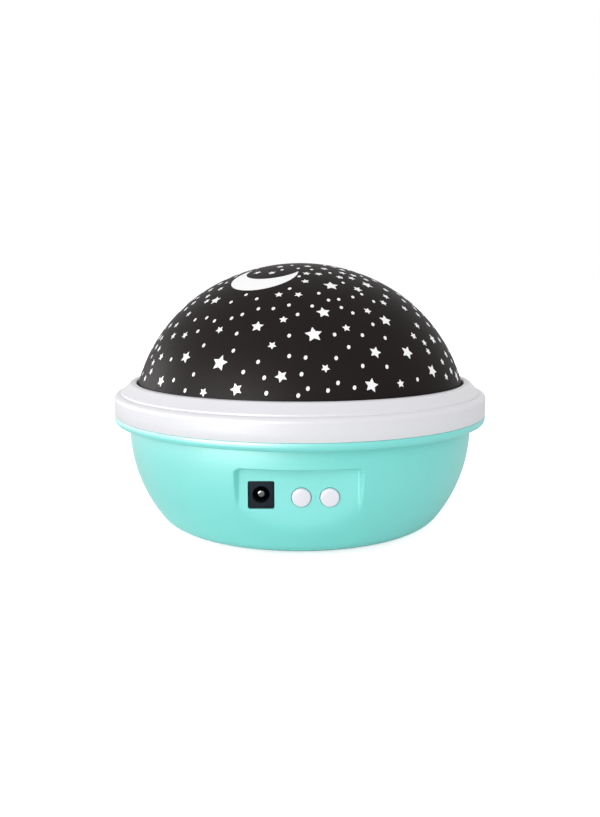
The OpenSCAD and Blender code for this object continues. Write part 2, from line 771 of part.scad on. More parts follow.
module pinion() {
    color([0.95, 0.9, 0.7])
        translate([0, drive_r, turntable_z + pinion_lift])
            difference() {
                rotate([0, 0, 90])
                    linear_extrude(height = gear_h - 2 * pinion_lift)
                        polygon(gear_points(pinion_teeth, pinion_pitch_r - pinion_ded, pinion_pitch_r,
                            pinion_pitch_r + pinion_add, -tooth_play));
                translate([0, 0, -cut]) cylinder(r = shaft_r + 0.01, h = gear_h + 2 * cut);
            }
}

module motor_shaft() {
    color([0.78, 0.78, 0.8])
        translate([0, drive_r, seam_z - gearbox_h + 2])
            cylinder(r = shaft_r, h = turntable_z + gear_h + shaft_top - seam_z + gearbox_h - 2);
}

module gearbox_case() {
    color([0.93, 0.93, 0.9])
        translate([0, drive_r, seam_z - gearbox_h])
            difference() {
                union() {
                    cylinder(r = gearbox_r, h = gearbox_h);
                    translate([0, 0, gearbox_h - cut]) cylinder(r = bushing_r, h = deck_t + cut);
                    for (x = [-1, 1])
                        translate([x * ear_reach, 0, gearbox_h - ear_t]) cylinder(r = ear_r, h = ear_t);
                    translate([-ear_reach, -ear_r, gearbox_h - ear_t])
                        cube([2 * ear_reach, 2 * ear_r, ear_t]);
                }
                translate([0, 0, 2 - run_gap]) cylinder(r = shaft_r + run_gap, h = gearbox_h + deck_t);
                for (x = [-1, 1])
                    translate([x * ear_reach, 0, gearbox_h - ear_t - cut])
                        cylinder(r = motor_screw_r + thread_gap, h = ear_t + 2 * cut);
            }
}

module motor_can() {
    color([0.72, 0.73, 0.75])
        translate([0, drive_r, seam_z - gearbox_h - motor_h])
            union() {
                translate([0, 0, 1]) cylinder(r = motor_r, h = motor_h - 1);
                cylinder(r = can_nose_r, h = 1 + cut);
            }
}

module motor_screws() {
    color([0.75, 0.76, 0.78])
        for (x = [-1, 1])
            translate([x * ear_reach, drive_r, deck_top_z])
                screw(motor_screw_r, deck_t + ear_t, small_head_r, small_head_h);
}

// ---------------------------------------------------------------- screws and feet
module deck_screws() {
    color([0.75, 0.76, 0.78])
        ring_of([45, 135, 225, 315], deck_screw_ring_r)
            translate([0, 0, deck_top_z]) screw(case_screw_r, deck_screw_l, case_head_r, case_head_h);
}

module ring_screws() {
    color([0.75, 0.76, 0.78])
        ring_of([0, 90, 180, 270], ring_screw_ring_r)
            translate([0, 0, seam_z]) mirror([0, 0, 1])
                screw(case_screw_r, ring_screw_l, case_head_r, case_head_h);
}

module rubber_feet() {
    color([0.25, 0.25, 0.26])
        ring_of([60, 120, 240, 300], foot_ring_r)
            difference() {
                cylinder(r = foot_r, h = foot_t);
                translate([0, 0, -cut]) cylinder(r = foot_r * 0.35, h = cut + foot_proud * 0.4);
            }
}

// ---------------------------------------------------------------- front panel
module jack_housing() {
    nose_l = jack_face_y - jack_body_y;
    color([0.2, 0.2, 0.24])
        difference() {
            union() {
                translate([jack_x, -jack_body_y + cut, jack_z])
                    plate_y(jack_nose_w, jack_nose_h, nose_l + cut, 0.5);
                translate([jack_x - jack_body_w / 2, -jack_body_y, board_top_z])
                    cube([jack_body_w, jack_body_l, jack_axis_h + jack_body_top]);
            }
            translate([jack_x, -jack_face_y - cut, jack_z])
                rotate([-90, 0, 0]) cylinder(r = jack_bore_r, h = jack_depth + cut);
            // seat of the centre pin's root
            translate([jack_x, -jack_face_y + jack_depth - cut, jack_z])
                rotate([-90, 0, 0]) cylinder(r = jack_pin_root_r, h = jack_pin_root_l + cut);
        }
}

module jack_pin() {
    tip = 0.4;
    color([0.85, 0.86, 0.88])
        translate([jack_x, -jack_face_y + jack_depth, jack_z])
            rotate([90, 0, 0])
                union() {
                    translate([0, 0, -jack_pin_root_l]) cylinder(r = jack_pin_root_r, h = jack_pin_root_l);
                    cylinder(r = jack_pin_r, h = jack_pin_l - tip);
                    translate([0, 0, jack_pin_l - tip])
                        cylinder(r1 = jack_pin_r, r2 = jack_pin_r - tip, h = tip);
                }
}

// Solder legs of the socket, through the board
module jack_contacts() {
    leg_l = board_t + jack_leg_proud;
    color([0.8, 0.8, 0.78])
        for (p = jack_leg_places)
            translate([jack_x + p[0] - jack_leg_w / 2, -jack_face_y + p[1], board_top_z - leg_l])
                cube([jack_leg_w, jack_leg_t, leg_l]);
}

module button(side) {
    face_y = panel_y + button_proud;
    flange_y = panel_in_y - button_flange_gap;
    color([0.94, 0.92, 0.96])
        translate([button_mid_x + side * button_pitch / 2, 0, button_z])
            rotate([90, 0, 0])
                rotate_extrude()
                    polygon(concat(
                        [[0, flange_y - button_flange_t - button_stem_l],
                            [button_stem_r, flange_y - button_flange_t - button_stem_l],
                            [button_stem_r, flange_y - button_flange_t],
                            [button_flange_r, flange_y - button_flange_t],
                            [button_flange_r, flange_y],
                            [button_r, flange_y]],
                        arc_points([button_r - 0.5, face_y - 0.5], 0.5, 0, 80, 5),
                        [[0, face_y + 0.1]]));
}

module button_left() { button(-1); }
module button_right() { button(1); }

plunger_tip_y = panel_in_y - button_flange_gap - button_flange_t - button_stem_l;
switch_front_y = plunger_tip_y - switch_gap;

module switch_body(side) {
    color([0.22, 0.22, 0.24])
        translate([button_mid_x + side * button_pitch / 2, 0, 0])
            difference() {
                union() {
                    translate([-switch_w / 2, -switch_front_y, button_z - switch_w / 2])
                        cube([switch_w, switch_d, switch_w]);
                    translate([-switch_w / 2 + 0.5, -switch_front_y + 0.8, board_top_z])
                        cube([switch_w - 1, switch_d - 1.4, button_z - switch_w / 2 - board_top_z + cut]);
                }
                translate([0, -switch_front_y - cut, button_z])
                    rotate([-90, 0, 0])
                        cylinder(r = plunger_r + hole_gap,
                            h = plunger_l - switch_gap + button_travel + 0.4 + cut);
            }
}

module switch_body_left() { switch_body(-1); }
module switch_body_right() { switch_body(1); }

module switch_plunger(side) {
    color([0.35, 0.33, 0.3])
        translate([button_mid_x + side * button_pitch / 2, -plunger_tip_y, button_z])
            rotate([-90, 0, 0]) cylinder(r = plunger_r, h = plunger_l);
}

module switch_plunger_left() { switch_plunger(-1); }
module switch_plunger_right() { switch_plunger(1); }

module main_board() {
    color([0.12, 0.42, 0.24])
        difference() {
            translate([board_mid_x - board_w / 2, -board_front_y, board_top_z - board_t])
                cube([board_w, board_d, board_t]);
            for (x = [-1, 1])
                translate([board_screw_place(x)[0], board_screw_place(x)[1], board_top_z - board_t - cut])
                    cylinder(r = motor_screw_r + hole_gap, h = board_t + 2 * cut);
            for (p = jack_leg_places)
                translate([jack_x + p[0] - jack_leg_w / 2 - jack_leg_gap,
                        -jack_face_y + p[1] - jack_leg_gap, board_top_z - board_t - cut])
                    cube([jack_leg_w + 2 * jack_leg_gap, jack_leg_t + 2 * jack_leg_gap, board_t + 2 * cut]);
        }
}

module board_screws() {
    color([0.75, 0.76, 0.78])
        for (x = [-1, 1])
            translate([board_screw_place(x)[0], board_screw_place(x)[1], board_top_z])
                screw(motor_screw_r, board_t + small_grip, small_head_r, small_head_h);
}

module control_chip() {
    body = [5, 4, 1.5];
    color([0.1, 0.1, 0.11])
        translate([board_mid_x + 0.5, -board_front_y + board_d - chip_back, board_top_z])
            union() {
                translate([0, 0, 0.2]) cube(body);
                for (i = [0:3])
                    translate([0.4 + i * 1.27, -1, 0]) cube([0.4, body[1] + 2, 0.5]);
            }
}

module capacitor() {
    color([0.16, 0.18, 0.3])
        translate([board_mid_x + board_w / 2 - capacitor_side, -board_front_y + board_d - capacitor_back,
                board_top_z])
            union() {
                cylinder(r = capacitor_r, h = capacitor_h);
                translate([0, 0, capacitor_h - 1]) cylinder(r = capacitor_r - 0.4, h = 1.4);
            }
}

// ---------------------------------------------------------------- battery bay
module battery_box() {
    out = [bay_l + 2 * box_wall, bay_w + 2 * box_wall];
    box_h = box_in_top_z + box_wall - bay_pad_z;
    color([0.88, 0.9, 0.9])
        difference() {
            union() {
                translate([-out[0] / 2, -out[1] / 2, bay_pad_z]) cube([out[0], out[1], box_h]);
                for (x = [-1, 1], y = [-1, 1]) {
                    translate([x * box_screw_x, y * box_screw_y, box_ear_z])
                        cylinder(r = box_ear_r, h = box_ear_t);
                    translate([x * box_screw_x - box_ear_r,
                            y > 0 ? out[1] / 2 - cut : -box_screw_y, box_ear_z])
                        cube([2 * box_ear_r, box_screw_y - out[1] / 2 + cut, box_ear_t]);
                }
            }
            translate([-bay_l / 2, -bay_w / 2, bay_pad_z - cut])
                cube([bay_l, bay_w, box_in_top_z - bay_pad_z + cut]);
            for (x = [-1, 1], y = [-1, 1])
                translate([x * box_screw_x, y * box_screw_y, box_ear_z - cut])
                    cylinder(r = motor_screw_r + hole_gap, h = box_ear_t + 2 * cut);
            // slots for the two end tabs
            for (y = [-1, 1])
                translate([-out[0] / 2 - cut, y * 1.5 * cell_pitch - tab_w / 2 - 0.2, tab_z - 0.2])
                    cube([box_wall + 2 * cut, tab_w + 0.4, spring_plate_t + 0.4]);
        }
}

module battery_box_screws() {
    color([0.75, 0.76, 0.78])
        for (x = [-1, 1], y = [-1, 1])
            translate([x * box_screw_x, y * box_screw_y, box_ear_z + box_ear_t])
                screw(motor_screw_r, box_ear_t + small_grip, small_head_r, small_head_h);
}

// Contact plates: single ones with solder tabs, and strips that join two cells
module contact_plate(end, from, to) {
    h = box_in_top_z - door_top_z - 1.2;
    y0 = (from - (cell_count - 1) / 2) * cell_pitch - 4.2;
    y1 = (to - (cell_count - 1) / 2) * cell_pitch + 4.2;
    translate([end > 0 ? bay_l / 2 - spring_plate_t : -bay_l / 2, y0, box_in_top_z - h])
        cube([spring_plate_t, y1 - y0, h]);
}

module battery_plates() {
    color([0.8, 0.8, 0.78])
        union() {
            contact_plate(-1, 0, 0);
            contact_plate(-1, 1, 2);
            contact_plate(-1, 3, 3);
            contact_plate(1, 0, 1);
            contact_plate(1, 2, 3);
            for (y = [-1, 1])
                translate([-bay_l / 2 - box_wall - tab_out, y * 1.5 * cell_pitch - tab_w / 2, tab_z])
                    cube([box_wall + tab_out + spring_plate_t / 2, tab_w, spring_plate_t]);
        }
}

// Conical battery spring: one unbroken wire from its plate to its tip
spring_turns = 3;
spring_rings = 8;
spring_base_r = 3.2;
spring_tip_r = 1.9;
cell_axis_z = door_top_z + 0.2 + cell_r;
function spring_points() =
    let (rise = spring_l - 2 * spring_wire_r)
    [for (i = [0:spring_turns * spring_rings])
        let (f = i / (spring_turns * spring_rings), a = 360 * i / spring_rings,
            r = spring_base_r + (spring_tip_r - spring_base_r) * f)
        [spring_wire_r + rise * f, r * cos(a), r * sin(a)]];
// Least gap between two turns of the wire, measured on its points
spring_gap =
    let (p = spring_points(), last = len(p) - 1)
    min([for (i = [0:last], k = [i + spring_rings / 2:1:last]) norm(p[k] - p[i])]) - 2 * spring_wire_r;
echo(spring_gap = spring_gap);

module battery_springs() {
    color([0.8, 0.8, 0.78])
        for (i = [0:cell_count - 1])
            translate([(i % 2 == 0 ? -1 : 1) * (bay_l / 2 - spring_plate_t),
                    (i - (cell_count - 1) / 2) * cell_pitch, cell_axis_z])
                rotate([0, 0, i % 2 == 0 ? 0 : 180])
                    swept_tube(spring_points(), spring_wire_r, 6, [1, 0, 0]);
}

module battery_door() {
    g = door_gap;
    color([0.58, 0.92, 0.87])
        difference() {
            union() {
                translate([-door_half_l + 0.1, -door_half_w + g, bowl_z])
                    cube([2 * door_half_l - 0.1 - g, 2 * (door_half_w - g), door_t]);
                translate([0, -tongue_w / 2 + g, bowl_z])
                    cube([door_half_l + tongue_l - g, tongue_w - 2 * g, door_t]);
                for (y = [-1, 1]) {
                    translate([hinge_x, y * hinge_pin_y + hinge_pin_l / 2, hinge_z])
                        rotate([90, 0, 0]) cylinder(r = hinge_r, h = hinge_pin_l, $fn = 32);
                    translate([hinge_x, y * hinge_pin_y - hinge_pin_l / 2, hinge_z - 0.5])
                        cube([1.5, hinge_pin_l, 1]);
                }
            }
            translate([door_screw_x, 0, bowl_z - cut])
                cylinder(r = door_screw_r + hole_gap, h = door_t + 2 * cut);
            translate([door_screw_x, 0, bowl_z - cut])
                cylinder(r = door_screw_head_r + hole_gap, h = door_screw_head_h + cut);
        }
}

module door_screw() {
    color([0.75, 0.76, 0.78])
        translate([door_screw_x, 0, bowl_z + door_screw_head_h])
            mirror([0, 0, 1])
                screw(door_screw_r, door_screw_l, door_screw_head_r, door_screw_head_h);
}

// ---------------------------------------------------------------- wires
module wire(points, side_way) {
    swept_tube(route(points, 5), wire_r, 8, side_way);
}

motor_low_z = seam_z - gearbox_h - motor_h;
over_box_z = box_in_top_z + box_wall + wire_r + 0.3;

module motor_wires() {
    color([0.8, 0.15, 0.12])
        for (x = [-1, 1])
            wire([
                [5.5 * x, drive_r - 1, motor_low_z + 1],
                [5.5 * x, drive_r - 1, motor_low_z - 1],
                [5 * x, drive_r - 5, over_box_z + 1],
                [3 * x, 18, over_box_z],
                [2.5 * x, 0, over_box_z],
                [2.5 * x, -18, over_box_z + 1],
                [2.5 * x + 1, -27, board_top_z + 5],
                [2.5 * x + 1, -board_front_y + board_d - 3, board_top_z + 1.5],
                [2.5 * x + 1, -board_front_y + board_d - 3, board_top_z]],
                [1, 0, 0]);
}

module battery_wires() {
    tab_x = -bay_l / 2 - box_wall - tab_out + 1;
    color([0.12, 0.12, 0.13])
        for (y = [-1, 1])
            wire([
                [tab_x, y * 1.5 * cell_pitch, tab_z + spring_plate_t],
                [tab_x, y * 1.5 * cell_pitch, tab_z + spring_plate_t + 1.5],
                [tab_x - 1, y * 1.5 * cell_pitch - 2, tab_z + 6 + y],
                [tab_x + 2, -18 + 4 * y, tab_z + 8 + y],
                [-19 + 1.5 * y, -25 + y, board_top_z + 6],
                [-12.5 + 1.5 * y, -board_front_y + board_d - 2, board_top_z + 1.5],
                [-12.5 + 1.5 * y, -board_front_y + board_d - 2, board_top_z]],
                [1, 0.3, 0]);
}

module lamp_wires() {
    low = deck_top_z + post_h;
    color([0.85, 0.8, 0.2])
        for (x = [-1, 1])
            wire([
                [2 * x, 0, low],
                [2 * x, 0, low - 4],
                [2 * x, -1, seam_z - 2],
                [2 * x, -12, seam_z - 10],
                [3 * x - 4, -24, board_top_z + 12],
                [2 * x - 6, -board_front_y + board_d - 3, board_top_z + 2],
                [2 * x - 6, -board_front_y + board_d - 3, board_top_z]],
                [1, 0, 0]);
}

// ---------------------------------------------------------------- assembly
base_bowl();
bezel_ring();
deck_plate();
star_dome();
turntable();
glide_pads();
pinion();
motor_shaft();
gearbox_case();
motor_can();
motor_screws();
lamp_post();
lamp_post_screws();
lamp_board();
warm_lamp();
red_lamp();
green_lamp();
blue_lamp();
main_board();
board_screws();
jack_housing();
jack_pin();
jack_contacts();
button_left();
button_right();
switch_body_left();
switch_body_right();
switch_plunger_left();
switch_plunger_right();
control_chip();
capacitor();
battery_box();
battery_box_screws();
battery_plates();
battery_springs();
battery_door();
door_screw();
rubber_feet();
deck_screws();
ring_screws();
motor_wires();
battery_wires();
lamp_wires();
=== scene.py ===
import json
import math

import bpy
from mathutils import Matrix, Vector
from mathutils.bvhtree import BVHTree


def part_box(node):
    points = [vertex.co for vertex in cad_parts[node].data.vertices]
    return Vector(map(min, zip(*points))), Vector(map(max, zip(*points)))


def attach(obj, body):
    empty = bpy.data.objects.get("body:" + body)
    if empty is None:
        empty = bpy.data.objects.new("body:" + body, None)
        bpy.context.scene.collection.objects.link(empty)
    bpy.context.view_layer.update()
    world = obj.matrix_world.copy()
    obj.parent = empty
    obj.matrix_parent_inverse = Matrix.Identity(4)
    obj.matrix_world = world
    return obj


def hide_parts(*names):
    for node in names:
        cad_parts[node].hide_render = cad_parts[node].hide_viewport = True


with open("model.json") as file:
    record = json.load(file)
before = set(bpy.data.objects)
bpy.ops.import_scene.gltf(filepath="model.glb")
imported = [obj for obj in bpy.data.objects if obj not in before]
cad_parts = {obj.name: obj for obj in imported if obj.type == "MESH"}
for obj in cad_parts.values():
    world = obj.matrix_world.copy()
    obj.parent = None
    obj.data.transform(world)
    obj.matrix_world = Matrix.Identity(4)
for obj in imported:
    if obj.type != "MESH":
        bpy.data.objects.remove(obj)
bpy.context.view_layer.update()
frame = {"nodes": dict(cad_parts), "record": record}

# A star night light: a printed dome turns on a round bowl, inside a white ring.
# Lengths are in millimetres, and times MM where Blender takes them.
MM = 0.001
UP = Vector((0, 0, 1))
weld_gap = 1e-6


# ---------------------------------------------------------------- sizes from the frame
def low_mm(node):
    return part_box(node)[0] / MM


def high_mm(node):
    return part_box(node)[1] / MM


base_z = low_mm("base_bowl").z
seam_z = high_mm("base_bowl").z
flange_r = high_mm("base_bowl").x
crest_z = high_mm("bezel_ring").z
rib_low_z = low_mm("bezel_ring").z
dome_r = high_mm("star_dome").x
dome_low_z = low_mm("star_dome").z
dome_top_z = high_mm("star_dome").z
deck_t = 2
deck_top_z = seam_z + deck_t
foot_h = high_mm("rubber_feet").z

# bowl: an upright side arc, a tighter edge arc and a rolled flange
flange_reach, flange_depth, flange_round = 5.4, 2.9, 1.6
flange_low_z = seam_z - flange_depth
bowl_r = flange_r - flange_reach
bowl_wall = 2.2
side_r, side_drop = 53.4, 5.6
side_c = (bowl_r - side_r, seam_z - side_drop)
edge_r = 9.5
edge_z = base_z + edge_r
edge_c = (side_c[0] + math.sqrt((side_r - edge_r) ** 2 - (side_c[1] - edge_z) ** 2), edge_z)
edge_turn = math.degrees(math.atan2(edge_c[1] - side_c[1], edge_c[0] - side_c[0]))
bowl_in_r = bowl_r - bowl_wall
floor_z = base_z + bowl_wall

# panel in the front of the bowl, measured from the bowl's widest circle and from the seam
panel_depth, panel_drop = 6.2, 10.1
panel_y = bowl_r - panel_depth
panel_in_y = panel_y - bowl_wall
panel_half_w = 20
panel_mid_x = -0.4
panel_top_z = seam_z - panel_drop
panel_corner = 1.1

# dome: a flat crown arc that runs into a tighter shoulder arc
dome_wall = 1.6
dome_spring_h = 11
dome_spring_z = seam_z + dome_spring_h
crown_r = 67.1
crown_z = dome_top_z - crown_r
crown_end = 60
crown_x = crown_r * math.cos(math.radians(crown_end))
crown_y = crown_z + crown_r * math.sin(math.radians(crown_end))
reach = (crown_x - dome_r, crown_y - dome_spring_z)
lean = (math.cos(math.radians(crown_end)), math.sin(math.radians(crown_end)))
shoulder_r = (reach[0] ** 2 + reach[1] ** 2) / (2 * (reach[0] * lean[0] + reach[1] * lean[1]))
shoulder_c = (crown_x - shoulder_r * lean[0], crown_y - shoulder_r * lean[1])
shoulder_low = math.degrees(math.atan2(dome_spring_z - shoulder_c[1], dome_r - shoulder_c[0]))

# socket and buttons
jack_low, jack_high = low_mm("jack_housing"), high_mm("jack_housing")
jack_x = (low_mm("jack_pin").x + high_mm("jack_pin").x) / 2
jack_z = (low_mm("jack_pin").z + high_mm("jack_pin").z) / 2
jack_face_y = -jack_low.y
nose_w, nose_h = 8.2, 8.8
nose_gap = 0.2
bore_r = 2.8
bore_l = 9.5
sides = ("left", "right")
button_z = (low_mm("button_left").z + high_mm("button_left").z) / 2
button_x = {side: (low_mm("button_" + side).x + high_mm("button_" + side).x) / 2 for side in sides}
button_face_y = -low_mm("button_left").y
button_r = 3.1
button_gap = 0.15

# camera, and the pixel of the photograph (600 across, 817 down) that it aims at
photo_down = 817
lens_mm, sensor_mm = 36.4, 36.0
pixels_per_unit = lens_mm / sensor_mm * photo_down
axis_px = (299.8, 408.5)
camera_tilt = math.radians(8.8)
camera_away = 0.320
aim = Vector((0, 0, seam_z * MM))
sight_forward = Vector((0, math.cos(camera_tilt), -math.sin(camera_tilt)))
sight_up = Vector((0, math.sin(camera_tilt), math.cos(camera_tilt)))
sight_right = Vector((1, 0, 0))
camera_at = aim - sight_forward * camera_away


# ---------------------------------------------------------------- modelling helpers
def work_on(piece):
    if bpy.context.object and bpy.context.object.mode != "OBJECT":
        bpy.ops.object.mode_set(mode="OBJECT")
    bpy.ops.object.select_all(action="DESELECT")
    if piece:
        piece.select_set(True)
        bpy.context.view_layer.objects.active = piece


def new_piece(name):
    piece = bpy.context.object
    piece.name = piece.data.name = name
    return piece


def edit_all(piece, kind="VERT"):
    work_on(piece)
    bpy.ops.object.mode_set(mode="EDIT")
    bpy.ops.mesh.select_mode(type=kind)
    bpy.ops.mesh.select_all(action="SELECT")


def edit_faces(piece, test):
    """Edit mode with the faces selected whose centre (mm) and normal pass the test."""
    work_on(piece)
    bpy.context.tool_settings.mesh_select_mode = (False, False, True)
    for item in (*piece.data.vertices, *piece.data.edges):
        item.select = False
    for face in piece.data.polygons:
        face.select = test(face.center / MM, face.normal)
    bpy.ops.object.mode_set(mode="EDIT")


def edit_points(piece, test):
    """Edit mode with the points selected whose number and place pass the test."""
    work_on(piece)
    bpy.context.tool_settings.mesh_select_mode = (True, False, False)
    for item in (*piece.data.edges, *piece.data.polygons):
        item.select = False
    for point in piece.data.vertices:
        point.select = test(point.index, point.co)
    bpy.ops.object.mode_set(mode="EDIT")


def edit_edges(piece, test):
    """Edit mode with the edges selected whose two ends (mm) pass the test."""
    work_on(piece)
    bpy.context.tool_settings.mesh_select_mode = (False, True, False)
    points = [v.co / MM for v in piece.data.vertices]
    for item in (*piece.data.vertices, *piece.data.polygons):
        item.select = False
    for edge in piece.data.edges:
        edge.select = test(points[edge.vertices[0]], points[edge.vertices[1]])
    bpy.ops.object.mode_set(mode="EDIT")


def close_up():
    """Merges what a spin or a join left doubled and turns the faces outwards."""
    bpy.ops.mesh.select_all(action="SELECT")
    bpy.ops.mesh.remove_doubles(threshold=weld_gap)
    bpy.ops.mesh.normals_make_consistent(inside=False)
    bpy.ops.object.mode_set(mode="OBJECT")


def arc(centre, radius, start, end, steps):
    return [
        (centre[0] + radius * math.cos(math.radians(start + (end - start) * i / steps)),
         centre[1] + radius * math.sin(math.radians(start + (end - start) * i / steps)))
        for i in range(steps + 1)]


def once_round(steps):
    return ((360, steps),)


def turned(name, outline, arcs, shut=True):
    """Spins an outline of (radius, height) points in mm about the upright axis, from +Y round.

    Each arc is (degrees, steps), so that one stretch can be finer than the rest.
    """
    work_on(None)
    bpy.ops.mesh.primitive_plane_add(size=MM, location=(0, 0, 0))
    piece = new_piece(name)
    edit_all(piece)
    bpy.ops.mesh.merge(type="CENTER")
    bpy.ops.transform.translate(value=(0, outline[0][0] * MM, outline[0][1] * MM))
    for here, there in zip(outline, outline[1:]):
        bpy.ops.mesh.extrude_region_move(TRANSFORM_OT_translate={
            "value": (0, (there[0] - here[0]) * MM, (there[1] - here[1]) * MM)})
    bpy.ops.mesh.select_all(action="SELECT")
    for degrees, steps in arcs:
        bpy.ops.mesh.spin(steps=steps, angle=math.radians(degrees), center=(0, 0, 0), axis=(0, 0, 1))
    if shut:
        close_up()
    else:
        bpy.ops.object.mode_set(mode="OBJECT")
    return piece


def put(piece, matrix):
    """Moves a piece by a matrix and keeps its place in its mesh."""
    work_on(piece)
    piece.matrix_world = matrix @ piece.matrix_world
    bpy.ops.object.transform_apply(location=True, rotation=True, scale=True)
    return piece


def facing_front(piece, x, z, y=0):
    """Lays a piece spun about +Z along -Y, at that place (mm) of the front."""
    place = Matrix.Translation((x * MM, y * MM, z * MM))
    return put(piece, place @ Matrix.Rotation(math.radians(90), 4, "X"))


def block(name, low, high, corner=0.0, along="Y", steps=5):
    """A box between two corners (mm), its edges along one axis rounded."""
    work_on(None)
    low, high = Vector(low), Vector(high)
    bpy.ops.mesh.primitive_cube_add(size=1, location=(low + high) / 2 * MM, scale=(high - low) * MM)
    bpy.ops.object.transform_apply(location=True, rotation=True, scale=True)
    piece = new_piece(name)
    if corner:
        axis = "XYZ".index(along)
        edit_edges(piece, lambda a, b: abs((a - b)[axis]) > 0.9 * (high - low)[axis])
        bpy.ops.mesh.bevel(offset=corner * MM, segments=steps, affect="EDGES")
        bpy.ops.object.mode_set(mode="OBJECT")
    return piece


def rod(name, radius, low, high, x, y, sides=32):
    """An upright round bar (mm)."""
    work_on(None)
    bpy.ops.mesh.primitive_cylinder_add(
        vertices=sides, radius=radius * MM, depth=(high - low) * MM,
        location=(x * MM, y * MM, (low + high) / 2 * MM))
    bpy.ops.object.transform_apply(location=True, rotation=True, scale=True)
    return new_piece(name)


def joined(name, pieces):
    work_on(pieces[0])
    for piece in pieces[1:]:
        piece.select_set(True)
    if len(pieces) > 1:
        bpy.ops.object.join()
    return new_piece(name)


def carve(piece, tools, how="DIFFERENCE"):
    """Cuts the tools out of the piece, adds them, or keeps what they share with it.

    The tools of one group don't touch each other, so that they act as one.
    """
    for group in tools:
        tool = joined("tools", group)
        work_on(piece)
        change = piece.modifiers.new(how.lower(), "BOOLEAN")
        change.operation = how
        change.solver = "MANIFOLD"
        change.object = tool
        bpy.ops.object.modifier_apply(modifier=change.name)
        bpy.data.objects.remove(tool)
    return piece


def soften(piece, width, steps=2, angle=35):
    """Rounds the sharp edges of a piece by a width in mm."""
    work_on(piece)
    change = piece.modifiers.new("softened_edges", "BEVEL")
    change.width = width * MM
    change.segments = steps
    change.limit_method = "ANGLE"
    change.angle_limit = math.radians(angle)
    change.harden_normals = False
    change.use_clamp_overlap = True
    bpy.ops.object.modifier_apply(modifier=change.name)
    return piece


def smooth(piece, angle=35):
    work_on(piece)
    bpy.ops.object.shade_smooth_by_angle(angle=math.radians(angle), keep_sharp_edges=False)
    return piece


def copy_of_node(node, name):
    """A merged copy of a CAD node, to be softened and finished as a piece of its own."""
    source = frame["nodes"][node]
    piece = bpy.data.objects.new(name, source.data.copy())
    bpy.context.collection.objects.link(piece)
    piece.data.materials.clear()
    edit_all(piece)
    bpy.ops.mesh.remove_doubles(threshold=weld_gap)
    bpy.ops.mesh.dissolve_limited(angle_limit=math.radians(1))
    bpy.ops.object.mode_set(mode="OBJECT")
    return piece


def finished(piece, body, material, slot, *nodes):
    piece.data.materials.clear()
    piece.data.materials.append(material)
    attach(piece, body)
    if nodes:
        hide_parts(*nodes)
    return piece


# ---------------------------------------------------------------- materials
def tone(red, green, blue):
    """A colour in steps of 0 to 255, as it looks on a screen."""
    parts = [c / 255 for c in (red, green, blue)]
    return tuple(p / 12.92 if p <= 0.04045 else ((p + 0.055) / 1.055) ** 2.4 for p in parts) + (1.0,)


def cloud(nodes, links, place, size, detail, stretch=(1, 1, 1)):
    """Soft noise whose patches are about that size in mm."""
    turn = nodes.new("ShaderNodeMapping")
    turn.inputs["Scale"].default_value = stretch
    links.new(place, turn.inputs["Vector"])
    noise = nodes.new("ShaderNodeTexNoise")
    noise.inputs["Scale"].default_value = 1 / (size * MM)
    noise.inputs["Detail"].default_value = detail
    noise.inputs["Roughness"].default_value = 0.55
    links.new(turn.outputs["Vector"], noise.inputs["Vector"])
    return noise.outputs["Fac"]


def finish(name, first, second, patch, rough, grain, grain_depth, stretch=(1, 1, 1), **sockets):
    """Two close colours in soft patches, uneven gloss and a fine grain, with their sizes in mm.

    Stretch draws the gloss and the grain out along an axis. The rest are sockets of the shader.
    """
    material = bpy.data.materials.new(name)
    material.use_nodes = True
    nodes, links = material.node_tree.nodes, material.node_tree.links
    shader = nodes["Principled BSDF"]
    place = nodes.new("ShaderNodeTexCoord").outputs["Object"]
    blend = nodes.new("ShaderNodeMix")
    blend.data_type = "RGBA"
    for socket in blend.inputs:
        if socket.type == "RGBA":
            socket.default_value = first if socket.name == "A" else second
    links.new(cloud(nodes, links, place, patch, 3), blend.inputs["Factor"])
    links.new([s for s in blend.outputs if s.type == "RGBA"][0], shader.inputs["Base Color"])
    gloss = nodes.new("ShaderNodeMapRange")
    gloss.inputs["To Min"].default_value = rough[0]
    gloss.inputs["To Max"].default_value = rough[1]
    links.new(cloud(nodes, links, place, patch / 5, 4, stretch), gloss.inputs["Value"])
    links.new(gloss.outputs["Result"], shader.inputs["Roughness"])
    bump = nodes.new("ShaderNodeBump")
    bump.inputs["Strength"].default_value = 1
    bump.inputs["Distance"].default_value = grain_depth * MM
    links.new(cloud(nodes, links, place, grain, 2, stretch), bump.inputs["Height"])
    links.new(bump.outputs["Normal"], shader.inputs["Normal"])
    for socket, value in sockets.items():
        shader.inputs[socket.replace("_", " ")].default_value = value
    return material


mint = finish(
    "mint_shell", tone(125, 223, 216), tone(120, 219, 212),
    patch=26, rough=(0.4, 0.48), grain=0.3, grain_depth=0.003,
    Specular_IOR_Level=0.4, Coat_Weight=1.0, Coat_Roughness=0.4, Coat_IOR=1.4)
ring_white = finish(
    "ring_white", tone(226, 225, 229), tone(222, 222, 226),
    patch=24, rough=(0.36, 0.44), grain=0.3, grain_depth=0.002, Specular_IOR_Level=0.3)
dome_black = finish(
    "printed_dome", (0.015, 0.012, 0.0115, 1), (0.018, 0.0145, 0.014, 1),
    patch=20, rough=(0.42, 0.5), grain=0.35, grain_depth=0.003, IOR=1.1)
star_white = finish(
    "clear_star_windows", tone(250, 250, 250), tone(244, 244, 246),
    patch=9, rough=(0.3, 0.4), grain=0.3, grain_depth=0.001)
inner_white = finish(
    "inner_white_plastic", tone(233, 233, 228), tone(226, 226, 220),
    patch=20, rough=(0.42, 0.52), grain=0.4, grain_depth=0.004)
